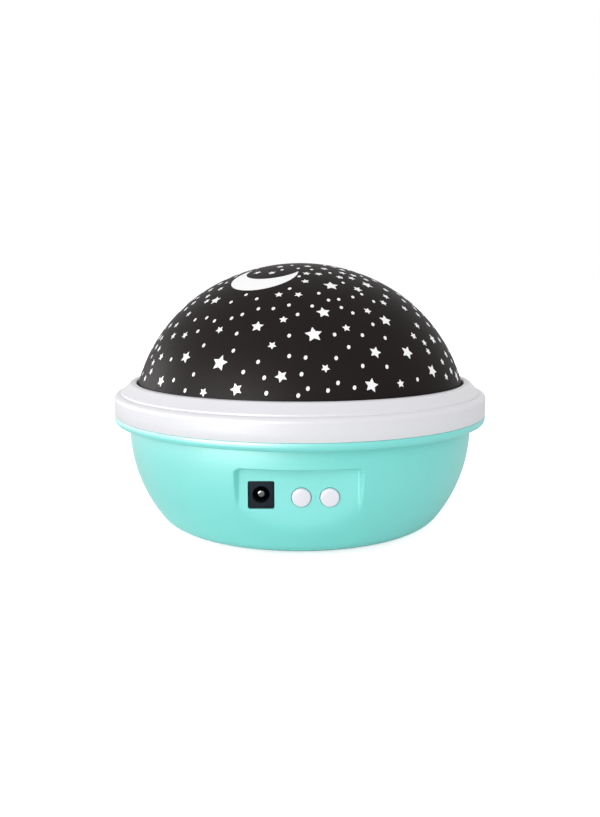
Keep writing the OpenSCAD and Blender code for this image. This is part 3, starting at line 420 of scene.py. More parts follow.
nylon = finish(
    "nylon", tone(236, 229, 205), tone(228, 220, 196),
    patch=8, rough=(0.4, 0.5), grain=0.2, grain_depth=0.004, Subsurface_Weight=0.1)
button_white = finish(
    "button_white", tone(234, 229, 237), tone(229, 225, 233),
    patch=5, rough=(0.3, 0.38), grain=0.2, grain_depth=0.002)
socket_black = finish(
    "socket_slate", tone(34, 40, 48), tone(30, 35, 42),
    patch=4, rough=(0.46, 0.56), grain=0.18, grain_depth=0.004, Specular_IOR_Level=0.1, IOR=1.3)
black_plastic = finish(
    "black_plastic", tone(34, 34, 38), tone(27, 27, 31),
    patch=5, rough=(0.42, 0.52), grain=0.2, grain_depth=0.004)
steel = finish(
    "zinc_steel", tone(196, 198, 202), tone(176, 178, 184),
    patch=5, rough=(0.24, 0.36), grain=0.12, grain_depth=0.004, stretch=(1, 1, 5), Metallic=1.0)
nickel = finish(
    "nickel", tone(222, 220, 212), tone(204, 201, 192),
    patch=4, rough=(0.14, 0.24), grain=0.1, grain_depth=0.003, Metallic=1.0)
# painted shade: the pin's nickel is set darker than bare nickel, standing in for the shade deep inside the
# socket's bore
nickel_painted_bore_shade = finish(
    "nickel_painted_bore_shade", tone(120, 118, 120), tone(100, 98, 100),
    patch=2, rough=(0.16, 0.24), grain=0.1, grain_depth=0.003, Metallic=1.0)
rubber = finish(
    "foot_rubber", tone(40, 40, 42), tone(33, 33, 35),
    patch=6, rough=(0.7, 0.85), grain=0.25, grain_depth=0.02)
board_green = finish(
    "green_board", tone(22, 104, 58), tone(16, 88, 48),
    patch=6, rough=(0.25, 0.4), grain=0.8, grain_depth=0.012)
board_white = finish(
    "white_board", tone(238, 238, 234), tone(228, 228, 224),
    patch=5, rough=(0.25, 0.35), grain=0.5, grain_depth=0.006)
red_wire = finish(
    "red_wire", tone(190, 34, 28), tone(170, 26, 22),
    patch=3, rough=(0.35, 0.45), grain=0.3, grain_depth=0.006)
black_wire = finish(
    "black_wire", tone(34, 34, 36), tone(26, 26, 28),
    patch=3, rough=(0.35, 0.45), grain=0.3, grain_depth=0.006)
yellow_wire = finish(
    "yellow_wire", tone(222, 194, 60), tone(208, 178, 46),
    patch=3, rough=(0.35, 0.45), grain=0.3, grain_depth=0.006)
sleeve_blue = finish(
    "sleeve_blue", tone(40, 52, 108), tone(32, 42, 94),
    patch=4, rough=(0.25, 0.35), grain=0.3, grain_depth=0.003)


def lens(name, colour, second):
    return finish(
        name, colour, second,
        patch=3, rough=(0.08, 0.14), grain=0.3, grain_depth=0.001, Transmission_Weight=0.85, IOR=1.5)


warm_lens = lens("warm_lens", tone(255, 244, 205), tone(255, 238, 190))
red_lens = lens("red_lens", tone(250, 128, 118), tone(246, 112, 104))
green_lens = lens("green_lens", tone(150, 236, 158), tone(134, 228, 144))
blue_lens = lens("blue_lens", tone(140, 172, 250), tone(124, 158, 244))

finish_of_slot = {
    "mint_plastic": mint, "white_plastic": ring_white, "dome_print": dome_black,
    "inner_white": inner_white, "nylon": nylon, "button_plastic": button_white,
    "black_plastic": black_plastic, "board_green": board_green, "board_white": board_white,
    "steel": steel, "nickel": nickel, "rubber": rubber, "warm_lens": warm_lens,
    "red_lens": red_lens, "green_lens": green_lens, "blue_lens": blue_lens,
    "red_wire": red_wire, "black_wire": black_wire, "yellow_wire": yellow_wire,
    "sleeve_blue": sleeve_blue}
for part in frame["record"]["subparts"]:
    for place in frame["nodes"][part["node"]].material_slots:
        place.material = finish_of_slot[part["material_slot"]]


# ---------------------------------------------------------------- bowl
side_wall_w, top_wall_w = 1.9, 1.2
outer_fade, inner_fade = 0.9, 0.3
front_share = 0.6


def smooth_step(value):
    value = min(max(value, 0), 1)
    return value * value * (3 - 2 * value)


def press_panel(skin, plane_y, half_w, top_z, fade):
    """Presses the front of a skin back to a plane, with a sloped wall at each side and on top.

    The walls round into each other at the corners, and the plane fades into the skin below it.
    """
    for point in skin.data.vertices:
        x, y, z = point.co / MM
        if y > -front_share * plane_y:
            continue
        side = (abs(x - panel_mid_x) - half_w) / side_wall_w + panel_corner
        over = (z - top_z) / top_wall_w + panel_corner
        outside = math.hypot(max(side, 0), max(over, 0)) + min(max(side, over), 0) - panel_corner
        share = smooth_step(0.5 - outside)
        proud = -y - plane_y
        point.co.y += share * (proud + math.hypot(proud, fade)) / 2 * MM


# finer steps round the front, and finest at the panel's two side walls
bowl_arcs = ((159.5, 64), (5, 30), (31, 31), (5, 30), (159.5, 64))


def side_rows(radius, start, end, step, fine_low, fine_high, fine_step):
    """Points of the bowl's side arc at even heights, closer together across one band."""
    heights, z = [], start
    while z < end - step / 2:
        heights.append(z)
        z += fine_step if fine_low < z < fine_high else step
    heights.append(end)
    return [(side_c[0] + math.sqrt(radius ** 2 - (z - side_c[1]) ** 2), z) for z in heights]


def edge_top(radius):
    return edge_c[1] + radius * math.sin(math.radians(edge_turn))


# the rib under the ring stands in a groove of the flange
rib_in_r, rib_out_r = flange_r - 2.8, flange_r - 1.6
groove_gap = 0.2
# rows of points up the bowl's two skins, closer together across the panel's top wall
row_h, fine_row_h, fine_reach = 0.5, 0.15, 1.6
inner_row_h, inner_fine_row_h, inner_fine_low, inner_fine_high = 1, 0.4, 34, 36

underside = [(0, base_z), (20, base_z), (38, base_z)]
under_flange = [(bowl_r + 0.02, flange_low_z - 0.2), (bowl_r + 0.2, flange_low_z - 0.02),
                (bowl_r + 0.6, flange_low_z)]
flange_top = [(flange_r, seam_z - 0.35), (flange_r - 0.1, seam_z - 0.1), (flange_r - 0.35, seam_z)]
groove = [(rib_out_r + groove_gap, seam_z), (rib_out_r + groove_gap, rib_low_z - groove_gap),
          (rib_in_r - groove_gap, rib_low_z - groove_gap), (rib_in_r - groove_gap, seam_z)]
outer_skin = turned(
    "bowl_outer",
    underside
    + arc(edge_c, edge_r, -90, edge_turn, 14)[:-1]
    + side_rows(side_r, edge_top(edge_r), flange_low_z - row_h, row_h,
                panel_top_z - fine_reach, panel_top_z + fine_reach, fine_row_h)
    + under_flange
    + arc((flange_r - flange_round, flange_low_z + flange_round), flange_round, -90, 0, 10)
    + flange_top + groove + [(bowl_in_r, seam_z)],
    bowl_arcs, shut=False)
inner_skin = turned(
    "bowl_inner",
    [(bowl_in_r, seam_z), (bowl_in_r, seam_z - 4)]
    + side_rows(side_r - bowl_wall, edge_top(edge_r - bowl_wall), seam_z - side_drop, inner_row_h,
                inner_fine_low, inner_fine_high, inner_fine_row_h)[::-1]
    + arc(edge_c, edge_r - bowl_wall, edge_turn, -90, 10)[1:]
    + [(30, floor_z), (0, floor_z)],
    bowl_arcs, shut=False)
press_panel(outer_skin, panel_y, panel_half_w, panel_top_z, outer_fade)
press_panel(inner_skin, panel_in_y, panel_half_w + bowl_wall, panel_top_z + bowl_wall, inner_fade)
bowl = joined("mint_bowl", [outer_skin, inner_skin])
edit_all(bowl)
close_up()


def four_places(x, y):
    """The places at plus and minus x, each at plus and minus y."""
    return [(across * x, along * y) for across in (-1, 1) for along in (-1, 1)]


# bosses and posts inside the bowl, all rooted in its floor
root_z = base_z + 1.4
deck_boss_ring_r, deck_boss_r = 45.5, 3.7
board_post_y, board_post_r, board_post_top_z = -33.6, 3, 15.2
board_screw_head_r = 2
box_boss_x, box_boss_y, box_boss_r, box_boss_top_z = 18, 27.4, 3.2, 8.2
screw_boss_r, screw_boss_top_z = 2.8, 10.2
screw_x = (low_mm("door_screw").x + high_mm("door_screw").x) / 2
board_post_x = (low_mm("board_screws").x + board_screw_head_r,
                high_mm("board_screws").x - board_screw_head_r)
deck_boss_x = deck_boss_ring_r * math.sqrt(0.5)
inside = [rod("deck_boss", deck_boss_r, root_z, seam_z, x, y)
          for x, y in four_places(deck_boss_x, deck_boss_x)]
inside += [rod("board_post", board_post_r, root_z, board_post_top_z, x, board_post_y)
           for x in board_post_x]
inside += [rod("box_boss", box_boss_r, root_z, box_boss_top_z, x, y)
           for x, y in four_places(box_boss_x, box_boss_y)]
inside += [rod("screw_boss", screw_boss_r, root_z, screw_boss_top_z, screw_x, 0)]

# thicker floor round the battery bay
pad_half_l, pad_half_w, pad_low, pad_high = 30.3, 25.1, 0.4, 2.8
pad = block("bay_pad", (-pad_half_l, -pad_half_w, base_z + pad_low),
            (pad_half_l, pad_half_w, base_z + pad_high))
carve(bowl, [[pad], inside], "UNION")

# holes for the socket and the buttons, whose rims are eased
past = 1
hole_corner, hole_front = 0.6, 3
socket_hole = block(
    "socket_hole",
    (jack_x - nose_w / 2 - nose_gap, -panel_y - hole_front, jack_z - nose_h / 2 - nose_gap),
    (jack_x + nose_w / 2 + nose_gap, -panel_in_y + past, jack_z + nose_h / 2 + nose_gap), hole_corner)
hole_r = button_r + button_gap
rim_r = hole_r + 0.3
button_hole = [(0, panel_in_y - past), (hole_r, panel_in_y - past), (hole_r, panel_y - 0.25),
               (hole_r + 0.07, panel_y - 0.1), (rim_r, panel_y + 0.1), (rim_r, panel_y + 2 * past),
               (0, panel_y + 2 * past)]
button_holes = [facing_front(turned("button_hole", button_hole, once_round(64)), button_x[side], button_z)
                for side in sides]

# battery bay, and the seats of its door, tongue, hinge and screw
bay_half_l, bay_half_w, bay_hole_h = 26.2, 22.0, 4
door_half_l, door_half_w, door_seat_h, door_slip = 28.2, 24.0, 1.9, 0.1
hinge_seat_h, hinge_gap, hinge_overlap = 0.9, 0.35, 0.5
tongue_half_w, tongue_gap = 4.5, 0.3
screw_hole_r, screw_hole_low, screw_hole_top_z = 1.5, 1, 9
door_low, door_high = low_mm("battery_door"), high_mm("battery_door")
bay_hole = block("bay_hole", (-bay_half_l, -bay_half_w, base_z - past),
                 (bay_half_l, bay_half_w, base_z + bay_hole_h))
door_seats = [
    block("door_seat", (-door_half_l - door_slip, -door_half_w, base_z - past),
          (door_half_l, door_half_w, base_z + door_seat_h)),
    block("tongue_seat", (0, -tongue_half_w, base_z - past),
          (door_high.x + tongue_gap, tongue_half_w, base_z + door_seat_h)),
    block("hinge_seat", (door_low.x - hinge_gap, -door_half_w, base_z - past),
          (-door_half_l + hinge_overlap, door_half_w, base_z + hinge_seat_h)),
    rod("screw_hole", screw_hole_r, base_z + screw_hole_low, screw_hole_top_z, screw_x, 0)]

# seats of the four feet
foot_r, foot_seat_gap = 4.5, 0.2
foot_bearings = (60, 120, 240, 300)
foot_ring_r = math.hypot(high_mm("rubber_feet").x - foot_r, high_mm("rubber_feet").y - foot_r)
feet = [(foot_ring_r * math.cos(math.radians(bearing)), foot_ring_r * math.sin(math.radians(bearing)))
        for bearing in foot_bearings]
foot_seats = [rod("foot_seat", foot_r + foot_seat_gap, base_z - past, foot_h, x, y, 48) for x, y in feet]
carve(bowl, [[bay_hole, socket_hole, *button_holes, *foot_seats], *[[seat] for seat in door_seats]])
smooth(bowl, 32)
finished(bowl, "base", mint, "mint_plastic", "base_bowl")

# ---------------------------------------------------------------- ring
dome_gap, crest_w, step_w, ring_wall = 0.5, 3.2, 2.6, 1.9
shoulder_h, shoulder_round = 5.9, 2
crest_round, crest_lip = 1.5, 0.7
side_h = 3
ring_in_r = dome_r + dome_gap
crest_r = ring_in_r + crest_w
step_r = crest_r + step_w
shoulder_z = seam_z + shoulder_h
ring_foot = [(flange_r - 0.4, seam_z), (flange_r - 0.12, seam_z + 0.1), (flange_r, seam_z + 0.4)]
ring_step = [(step_r + 0.12, shoulder_z + 1.9), (step_r, shoulder_z + 2), (step_r, shoulder_z + 2.4),
             (step_r - 0.1, shoulder_z + 2.6), (step_r - 0.35, shoulder_z + 2.8),
             (step_r - 0.7, shoulder_z + 3.05)]
ring_inside = [(ring_in_r, deck_top_z), (ring_in_r + ring_wall, deck_top_z),
               (ring_in_r + ring_wall, crest_z - 3.5), (step_r - ring_wall, shoulder_z + 0.5),
               (flange_r - ring_wall, shoulder_z), (flange_r - ring_wall, seam_z + side_h)]
rib = [(rib_in_r, seam_z + side_h), (rib_in_r, rib_low_z), (rib_out_r, rib_low_z), (rib_out_r, seam_z)]
ring = turned(
    "white_ring",
    ring_foot + [(flange_r, seam_z + side_h)]
    + arc((flange_r - shoulder_round, shoulder_z), shoulder_round, 0, 85, 12)
    + ring_step
    + arc((crest_r - crest_round, crest_z - crest_round), crest_round, 42, 90, 8)
    + arc((ring_in_r + crest_lip, crest_z - crest_lip), crest_lip, 90, 180, 8)
    + ring_inside + rib + ring_foot[:1],
    once_round(240))
smooth(ring, 32)
finished(ring, "base", ring_white, "white_plastic", "bezel_ring")


# ---------------------------------------------------------------- dome
def dome_outline(lift):
    """The dome's outer curve from its rim to its top, moved out by lift."""
    return (arc(shoulder_c, shoulder_r + lift, shoulder_low, crown_end, 34)
            + arc((0, crown_z), crown_r + lift, crown_end, 90, 22)[1:])


outer_ease, inner_ease = 0.3, 0.2
dome_in_r = dome_r - dome_wall
rim_out = [(dome_r - outer_ease, dome_low_z), (dome_r, dome_low_z + outer_ease)]
rim_in = [(dome_in_r, dome_low_z + inner_ease), (dome_in_r + inner_ease, dome_low_z)]
dome = turned(
    "star_dome_shell",
    rim_out + dome_outline(0) + dome_outline(-dome_wall)[::-1] + rim_in + rim_out[:1],
    once_round(240))
smooth(dome, 32)
finished(dome, "dome", dome_black, "dome_print", "star_dome")

# ---------------------------------------------------------------- stars, dots and moon on the dome
# The places of the marks are pixels of the photograph, across and down, seen through the camera.
print_lift, print_sink = 0.05, 0.25
star_tips, star_waist, star_tip_round = 5, 0.5, 0.06
dot_sides, dot_narrow, dot_tall = 12, 0.9, 1.15
dot_r, dot_lean = 0.66, -16
small_star_r, edge_star_r = 1.5, 1.35
# a mark shows as far as that share of its radius, and the filled sides keep that gap (mm)
mark_share, side_gap = 0.8, 1.8

# big stars: (across, down, radius in mm, turn in degrees)
big_stars = [
    (313.5, 334.5, 2.97, 7), (323.2, 312.4, 2.45, 8), (257.1, 326.5, 2.2, -2), (219.6, 363.0, 2.9, -12),
    (330.8, 285.7, 2.75, -4), (366.9, 284.9, 2.3, 12), (357.5, 289.3, 1.8, 30), (215.4, 300.3, 2.2, 10),
    (371.3, 385.3, 2.5, -11), (281.0, 376.4, 2.1, 24),
    (375.1, 352.3, 2.2, -19), (407.0, 352.4, 2.5, -25), (385.2, 320.5, 2.4, -9), (432.0, 370.8, 2.45, -24),
    (185.6, 357.2, 2.25, -22), (236.0, 389.4, 2.15, 19), (432.4, 339.2, 2.1, 12), (160.8, 381.2, 2.1, -24)]
small_star_px = [
    (219.4, 329.8), (283.2, 319.6), (271.9, 345.4), (346.2, 328.0), (325.3, 368.3), (400.5, 383.6),
    (203.1, 392.3), (278.6, 294.6), (298.2, 294.6), (305.1, 281.3), (367.3, 310.9), (385.7, 296.6),
    (383.2, 302.8), (404.3, 308.4), (416.8, 325.5), (413.3, 335.9),
    (184.7, 335.2), (173.2, 335.9), (161.0, 356.8), (445.7, 354.3), (450.8, 370.9), (271.7, 272.9),
    (257.4, 272.7), (279.8, 266.8), (307.5, 266.3), (324.0, 268.8), (306.3, 273.5), (318.5, 274.0),
    (341.9, 269.9), (342.1, 273.0), (339.6, 277.3), (351.3, 278.3), (353.1, 275.5)]
dot_px = [
    (245.9, 294.8), (230.9, 302.2), (256.6, 298.9), (289.5, 288.7), (258.2, 308.9), (273.2, 308.6),
    (288.8, 305.1), (312.0, 306.1), (318.6, 293.3), (328.3, 300.2), (338.5, 299.4), (352.6, 297.1),
    (341.1, 307.6), (352.6, 313.0), (297.4, 314.5), (242.1, 314.5), (231.4, 318.3), (214.3, 320.9),
    (206.6, 317.8), (194.9, 319.8), (188.3, 314.5), (197.7, 331.3), (236.5, 333.6), (289.0, 335.7),
    (334.4, 334.6), (362.2, 335.2), (372.7, 324.4), (384.9, 338.0), (203.6, 345.4), (233.2, 350.7),
    (348.5, 347.1), (289.0, 356.1), (305.4, 357.6), (336.0, 358.1), (257.9, 361.9), (362.5, 366.0),
    (386.7, 366.8), (243.1, 372.1), (301.3, 374.2), (264.0, 377.8), (337.8, 382.9), (193.4, 374.4),
    (173.5, 380.1), (184.9, 390.5), (266.1, 393.3), (307.7, 388.7), (327.8, 390.5), (298.0, 395.6),
    (354.3, 387.7), (417.3, 379.5), (406.4, 351.2), (428.1, 351.2), (424.2, 343.1), (441.8, 361.9),
    (447.4, 375.7), (170.9, 359.4), (281.9, 269.9), (291.9, 265.3), (298.1, 268.4), (311.5, 269.6),
    (299.0, 276.5), (329.8, 273.0), (342.9, 282.8), (361.5, 294.3), (373.4, 301.5), (361.2, 276.2)]
# stars seen nearly edge on, down both sides of the dome
edge_star_px = [
    (210.4, 290.0), (220.1, 283.7), (220.3, 288.9), (207.5, 296.3), (206.6, 301.3), (193.5, 303.0),
    (185.7, 309.0), (188.5, 314.1), (170.2, 325.6), (176.3, 325.0), (161.6, 338.2), (156.4, 346.8),
    (159.0, 348.9), (153.0, 362.7), (150.9, 371.5), (144.9, 378.4), (374.4, 280.8), (365.8, 279.7),
    (385.5, 290.0), (397.9, 294.0), (403.6, 300.9), (414.6, 308.4),
    (417.7, 314.7), (427.8, 324.5), (424.1, 342.8), (428.0, 351.4), (439.2, 340.0), (445.6, 353.7),
    (442.1, 361.8), (450.7, 370.9), (446.1, 376.7)]


dome_tree = BVHTree.FromPolygons(
    [point.co for point in dome.data.vertices], [face.vertices for face in dome.data.polygons])
most_steps_in, step_in = 12, 0.01


def seen_on_dome(across, down):
    """The point and normal of the dome under a pixel, moved in where the pixel just misses it."""
    for _ in range(most_steps_in):
        sight = (sight_forward + sight_right * (across - axis_px[0]) / pixels_per_unit
                 - sight_up * (down - axis_px[1]) / pixels_per_unit)
        where, normal, _face, _away = dome_tree.ray_cast(camera_at, sight.normalized())
        if where and normal.dot(sight) < 0:
            return where, normal
        across += (axis_px[0] - across) * step_in
        down += (axis_px[1] - down) * step_in
    return None


def flat_plate(name, corners):
    work_on(None)
    bpy.ops.mesh.primitive_circle_add(vertices=corners, radius=1, fill_type="NGON")
    return new_piece(name)


def thickened(plate):
    """Gives a flat plate its top at +1 and its underside at -1."""
    edit_all(plate, "FACE")
    bpy.ops.mesh.poke()
    bpy.ops.transform.translate(value=(0, 0, 1))
    bpy.ops.mesh.extrude_region_move(TRANSFORM_OT_translate={"value": (0, 0, -2)})
    bpy.ops.mesh.select_all(action="SELECT")
    bpy.ops.mesh.normals_make_consistent(inside=False)
    bpy.ops.object.mode_set(mode="OBJECT")
    return plate


def star_print():
    """A star of radius 1: every other corner of a plate drawn in, and the tips rounded."""
    star = flat_plate("star_print", 2 * star_tips)
    edit_points(star, lambda number, point: number % 2 == 1)
    bpy.ops.transform.resize(value=(star_waist, star_waist, 1), center_override=(0, 0, 0))
    bpy.ops.object.mode_set(mode="OBJECT")
    edit_points(star, lambda number, point: number % 2 == 0)
    bpy.ops.mesh.bevel(offset=star_tip_round, segments=2, affect="VERTICES")
    bpy.ops.object.mode_set(mode="OBJECT")
    return thickened(star)


def dot_print():
    """A dot of radius 1, a little taller than wide."""
    dot = flat_plate("dot_print", dot_sides)
    edit_all(dot)
    bpy.ops.transform.resize(value=(dot_narrow, dot_tall, 1), center_override=(0, 0, 0))
    bpy.ops.object.mode_set(mode="OBJECT")
    return thickened(dot)


star_pattern, dot_pattern = star_print(), dot_print()
marks = []


def add_mark(pattern, where, normal, radius, turn, gap=0.0):
    """Notes a mark unless it would touch one that is there or come within the gap (mm) of it."""
    for _pattern, there, _normal, there_r, _turn in marks:
        if (there - where).length < ((there_r + radius) * mark_share + gap) * MM:
            return
    marks.append((pattern, where, normal, radius, turn))


def add_seen_mark(pattern, across, down, radius, turn):
    spot = seen_on_dome(across, down)
    if spot:
        add_mark(pattern, *spot, radius, turn)


def small_star_turn(number):
    """Turns from -36 to 35 degrees, which differ from one small star to the next."""
    return 37 * number % 72 - 36


for across, down, radius, turn in big_stars:
    add_seen_mark(star_pattern, across, down, radius, turn)
for number, (across, down) in enumerate(small_star_px + edge_star_px):
    radius = small_star_r if number < len(small_star_px) else edge_star_r
    add_seen_mark(star_pattern, across, down, radius, small_star_turn(number))
for across, down in dot_px:
    add_seen_mark(dot_pattern, across, down, dot_r, dot_lean)

# the moon's two circles: bearing and elevation on the crown in degrees, and radius in mm
moon_outer = (-121.7, 68.9, 12.1)
moon_inner = (-120.7, 74.2, 10.1)
moon_margin = 1


def on_crown(bearing, elevation):
    """A point on the crown, by its bearing and elevation in degrees at the crown arc's centre."""
    turn, rise = math.radians(bearing), math.radians(elevation)
    return Vector((crown_r * math.cos(rise) * math.cos(turn), crown_r * math.cos(rise) * math.sin(turn),
                   crown_z + crown_r * math.sin(rise))) * MM


# the back carries the front's marks turned half round, and both sides fill up with the other turns
moon_middle = on_crown(*moon_outer[:2])
front_marks = list(marks)
back_turn, side_turns = 180, (90, 270, 120, 240, 65, 295)
hidden_below = 0.2
for degrees in (back_turn, *side_turns):
    gap = 0 if degrees == back_turn else side_gap
    around = Matrix.Rotation(math.radians(degrees), 3, "Z")
    for pattern, where, normal, radius, turn in front_marks:
        there, out = around @ where, around @ normal
        hidden = out.dot((camera_at - there).normalized()) < hidden_below
        if hidden and (there - moon_middle).length > (moon_outer[2] + radius + moon_margin) * MM:
            add_mark(pattern, there, out, radius, turn, gap)


def place_mark(number, pattern, where, normal, radius, turn):
    """A copy of the pattern, turned upright and laid on the dome, a little proud of it."""
    mark = bpy.data.objects.new("mark_%d" % number, pattern.data.copy())
    bpy.context.collection.objects.link(mark)
    lead = sight_up if where.y < 0 else Vector((0, -sight_up.y, sight_up.z))
    rise = (lead - normal * lead.dot(normal)).normalized()
    side = rise.cross(normal)
    stance = Matrix((side, rise, normal)).transposed() @ Matrix.Rotation(math.radians(turn), 3, "Z")
    for point in mark.data.vertices:
        top = point.co.z > 0
        flat = where + stance @ Vector((point.co.x, point.co.y, 0)) * radius * MM
        spot, out, _face, _away = dome_tree.find_nearest(flat)
        point.co = spot + out * (print_lift if top else -print_sink) * MM
    return mark


placed = [place_mark(n, *mark) for n, mark in enumerate(marks)]
stars = joined("dome_stars", [p for p, mark in zip(placed, marks) if mark[0] == star_pattern])
dots = joined("dome_dots", [p for p, mark in zip(placed, marks) if mark[0] == dot_pattern])
for pattern in (star_pattern, dot_pattern):
    bpy.data.objects.remove(pattern)


core_h = 20


def crown_core(name, bearing, elevation, radius):
    """A round bar that stands on the crown where one edge of the moon runs."""
    work_on(None)
    bpy.ops.mesh.primitive_cylinder_add(vertices=96, radius=radius * MM, depth=core_h * MM)
    core = new_piece(name)
    foot = on_crown(bearing, elevation)
    out = (foot - Vector((0, 0, crown_z * MM))).normalized()
    return put(core, Matrix.Translation(foot) @ UP.rotation_difference(out).to_matrix().to_4x4())


moon = turned(
    "dome_moon",
    dome_outline(print_lift) + dome_outline(-print_sink)[::-1] + dome_outline(print_lift)[:1],
    once_round(240))
carve(moon, [[crown_core("moon_outside", *moon_outer)]], "INTERSECT")
carve(moon, [[crown_core("moon_inside", *moon_inner)]])
for piece in (stars, dots, moon):
    smooth(piece, 40)
    finished(piece, "dome", star_white, "inner_white")

# ---------------------------------------------------------------- push buttons
stem_r, stem_l, stem_ease = 2, 2.3, 0.15
flange_t, button_flange_r = 0.8, 4.2
face_round, face_sink = 0.6, 0.7
# each button's flange lies just inside the panel's wall
flange_y = panel_in_y - 0.1
button_outline = (
    [(0, flange_y - stem_l), (stem_r - stem_ease, flange_y - stem_l),
     (stem_r, flange_y - stem_l + stem_ease), (stem_r, flange_y - flange_t),
     (button_flange_r, flange_y - flange_t), (button_flange_r, flange_y),
     (button_r, flange_y), (button_r, button_face_y - 0.9)]
    + arc((button_r - face_round, button_face_y - face_sink), face_round, 0, 78, 7)
    + [(1.6, button_face_y - 0.03), (0, button_face_y)])
for side in sides:
    button = facing_front(turned("push_button_" + side, button_outline, once_round(72)),
                          button_x[side], button_z)
    smooth(button, 40)
    finished(button, "button_" + side, button_white, "button_plastic", "button_" + side)

# ---------------------------------------------------------------- power socket
nose_l, nose_corner, nose_ease = 5, 0.7, 0.28
body_back, body_half_w, body_corner = 3, 4.5, 0.4
pin_root_r, pin_root_l = 1.4, 2.2
bore_ease = 0.18
nose = block("power_socket", (jack_x - nose_w / 2, jack_low.y, jack_z - nose_h / 2),
             (jack_x + nose_w / 2, jack_low.y + nose_l, jack_z + nose_h / 2), nose_corner)
edit_faces(nose, lambda centre, normal: normal.y < -0.9)
bpy.ops.mesh.bevel(offset=nose_ease * MM, segments=3, affect="EDGES")
bpy.ops.object.mode_set(mode="OBJECT")
socket_body = block("socket_body", (jack_x - body_half_w, jack_low.y + body_back, jack_low.z),
                    (jack_x + body_half_w, jack_high.y, jack_high.z), body_corner, "Z", 3)
carve(nose, [[socket_body]], "UNION")
bore_end_y = jack_face_y - bore_l
bore = turned("socket_bore", [
    (0, bore_end_y - pin_root_l), (pin_root_r, bore_end_y - pin_root_l), (pin_root_r, bore_end_y),
    (bore_r, bore_end_y), (bore_r, jack_face_y - 0.12), (bore_r + bore_ease, jack_face_y + 0.06),
    (bore_r + bore_ease, jack_face_y + 2 * past), (0, jack_face_y + 2 * past)], once_round(64))
carve(nose, [[facing_front(bore, jack_x, jack_z)]])
smooth(nose)
finished(nose, "base", socket_black, "black_plastic", "jack_housing")

# the pin wears the nickel with painted shade, darker than the bare metal, for the shade inside the bore
pin_r = (high_mm("jack_pin").x - low_mm("jack_pin").x) / 2
pin_tip_y, pin_back_y = -low_mm("jack_pin").y, -high_mm("jack_pin").y
tip_round, back_ease = 0.8, 0.1
pin = turned(
    "socket_pin",
    [(0, pin_back_y), (pin_r - back_ease, pin_back_y), (pin_r, pin_back_y + back_ease),
     (pin_r, pin_tip_y - 0.75)]
    + arc((pin_r - tip_round, pin_tip_y - tip_round), tip_round, 0, 78, 8) + [(0, pin_tip_y)],
    once_round(40))
facing_front(pin, jack_x, jack_z)
smooth(pin, 40)
finished(pin, "base", nickel_painted_bore_shade, "nickel", "jack_pin")

# ---------------------------------------------------------------- rubber feet
# each stands on a ring round a shallow dimple
dimple_h = 0.4
foot_outline = [(0, dimple_h), (1.4, dimple_h), (1.6, 0.1), (1.9, 0), (3.9, 0), (4.3, 0.14),
                (foot_r, 0.5), (foot_r, foot_h), (0, foot_h)]
foot_pieces = [put(turned("foot", foot_outline, once_round(48)), Matrix.Translation((x * MM, y * MM, 0)))
               for x, y in feet]
rubber_feet = smooth(joined("rubber_feet_soft", foot_pieces), 40)
finished(rubber_feet, "base", rubber, "rubber", "rubber_feet")

# ---------------------------------------------------------------- moulded pieces with softened edges
for node, ease, body, material, slot in (
        ("battery_door", 0.25, "battery_door", mint, "mint_plastic"),
        ("turntable", 0.18, "turntable", inner_white, "inner_white"),
        ("lamp_post", 0.3, "base", inner_white, "inner_white"),
        ("deck_plate", 0.2, "base", inner_white, "inner_white")):
    piece = copy_of_node(node, node + "_moulded")
    soften(piece, ease)
    smooth(piece)
    finished(piece, body, material, slot, node)

# ---------------------------------------------------------------- floor and world
# the camera sees a white floor in a white world, and dimmer ones light the object
floor_size, floor_lift = 6, 0.7
around_strength = 0.76
white = (1, 1, 1, 1)


def reckon(nodes, links, operation, first, second):
    """A node's sum over two sockets, or over a socket and a plain number."""
    result = nodes.new("ShaderNodeMath")
    result.operation = operation
    links.new(first, result.inputs[0])
    if isinstance(second, float):
        result.inputs[1].default_value = second
    else:
        links.new(second, result.inputs[1])
    return result.outputs[0]


def floor_finish():
    """Matt pale grey, lifted towards white where the camera looks straight at it."""
    material = bpy.data.materials.new("studio_floor")
    material.use_nodes = True
    nodes, links = material.node_tree.nodes, material.node_tree.links
    shader = nodes["Principled BSDF"]
    shader.inputs["Base Color"].default_value = (0.86, 0.86, 0.86, 1)
    shader.inputs["Roughness"].default_value = 0.9
    shader.inputs["Specular IOR Level"].default_value = 0.0
    rays = nodes.new("ShaderNodeLightPath").outputs
    lift = nodes.new("ShaderNodeEmission")
    lift.inputs["Color"].default_value = white
    strength = reckon(nodes, links, "MULTIPLY", rays["Is Camera Ray"], floor_lift)
    links.new(strength, lift.inputs["Strength"])
    both = nodes.new("ShaderNodeAddShader")
    links.new(shader.outputs["BSDF"], both.inputs[0])
    links.new(lift.outputs["Emission"], both.inputs[1])
    links.new(both.outputs["Shader"], nodes["Material Output"].inputs["Surface"])
    return material


def backdrop(nodes, strength):
    light = nodes.new("ShaderNodeBackground")
    light.inputs["Strength"].default_value = strength
    light.inputs["Color"].default_value = white
    return light.outputs["Background"]


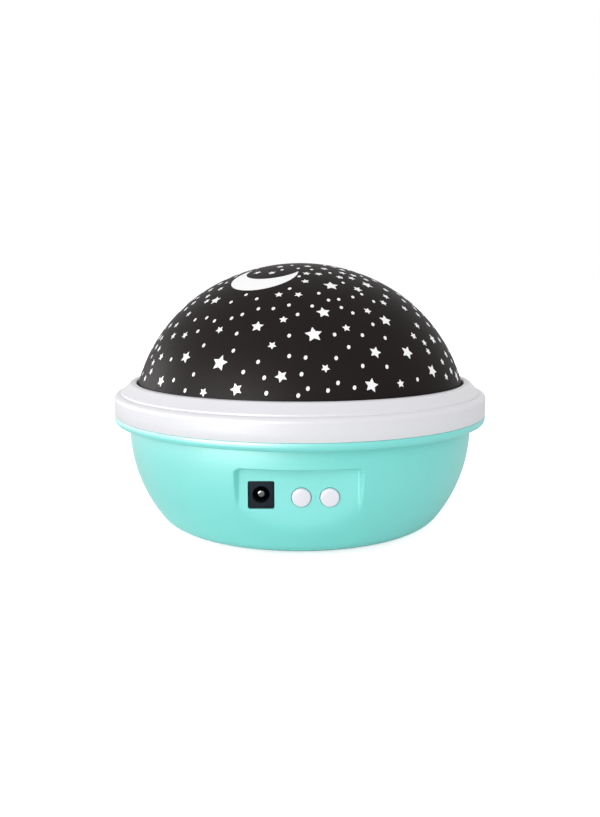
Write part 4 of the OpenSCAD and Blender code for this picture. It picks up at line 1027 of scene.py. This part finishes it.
def studio_world():
    """White for what sees it straight, in shine or through a lens, and dimmer as the light all round."""
    world = bpy.data.worlds.new("studio")
    world.use_nodes = True
    nodes, links = world.node_tree.nodes, world.node_tree.links
    for node in list(nodes):
        nodes.remove(node)
    rays = nodes.new("ShaderNodeLightPath").outputs
    seen = reckon(nodes, links, "MAXIMUM", rays["Is Camera Ray"], rays["Is Glossy Ray"])
    seen = reckon(nodes, links, "MAXIMUM", seen, rays["Is Transmission Ray"])
    pick = nodes.new("ShaderNodeMixShader")
    links.new(seen, pick.inputs[0])
    links.new(backdrop(nodes, around_strength), pick.inputs[1])
    links.new(backdrop(nodes, 1.0), pick.inputs[2])
    links.new(pick.outputs["Shader"], nodes.new("ShaderNodeOutputWorld").inputs["Surface"])
    return world


work_on(None)
bpy.ops.mesh.primitive_plane_add(size=floor_size, location=(0, 0, 0))
floor = new_piece("studio_floor")
floor.data.materials.append(floor_finish())
bpy.context.scene.world = studio_world()


# ---------------------------------------------------------------- lights and camera
def softbox(name, place, size, watts, gloss_only=False):
    """A rectangular light that faces the object. Gloss-only ones show in shine and light nothing else."""
    data = bpy.data.lights.new(name, "AREA")
    data.shape = "RECTANGLE"
    data.size, data.size_y = size
    data.energy = watts
    lamp = bpy.data.objects.new(name, data)
    bpy.context.collection.objects.link(lamp)
    lamp.location = place
    lamp.rotation_euler = (aim - Vector(place)).to_track_quat("-Z", "Y").to_euler()
    lamp.visible_diffuse = not gloss_only


softbox("key_softbox", place=(-0.85, -0.55, 0.35), size=(1.0, 0.8), watts=2.8)
softbox("front_softbox", place=(0.0, -1.0, 0.35), size=(0.9, 0.6), watts=2.4)
softbox("gloss_softbox", place=(-0.75, -0.8, 0.34), size=(1.1, 0.65), watts=56.0, gloss_only=True)
softbox("side_softbox", place=(-0.95, 0.25, 0.2), size=(0.9, 0.34), watts=8.0, gloss_only=True)

camera_data = bpy.data.cameras.new("photo_camera")
camera_data.lens = lens_mm
camera_data.sensor_width = sensor_mm
camera_data.sensor_fit = "AUTO"
camera_data.clip_start = 0.01
camera = bpy.data.objects.new("photo_camera", camera_data)
bpy.context.collection.objects.link(camera)
camera.location = camera_at
camera.rotation_euler = (math.radians(90) - camera_tilt, 0, 0)
bpy.context.scene.camera = camera
bpy.context.scene.view_settings.view_transform = "Standard"
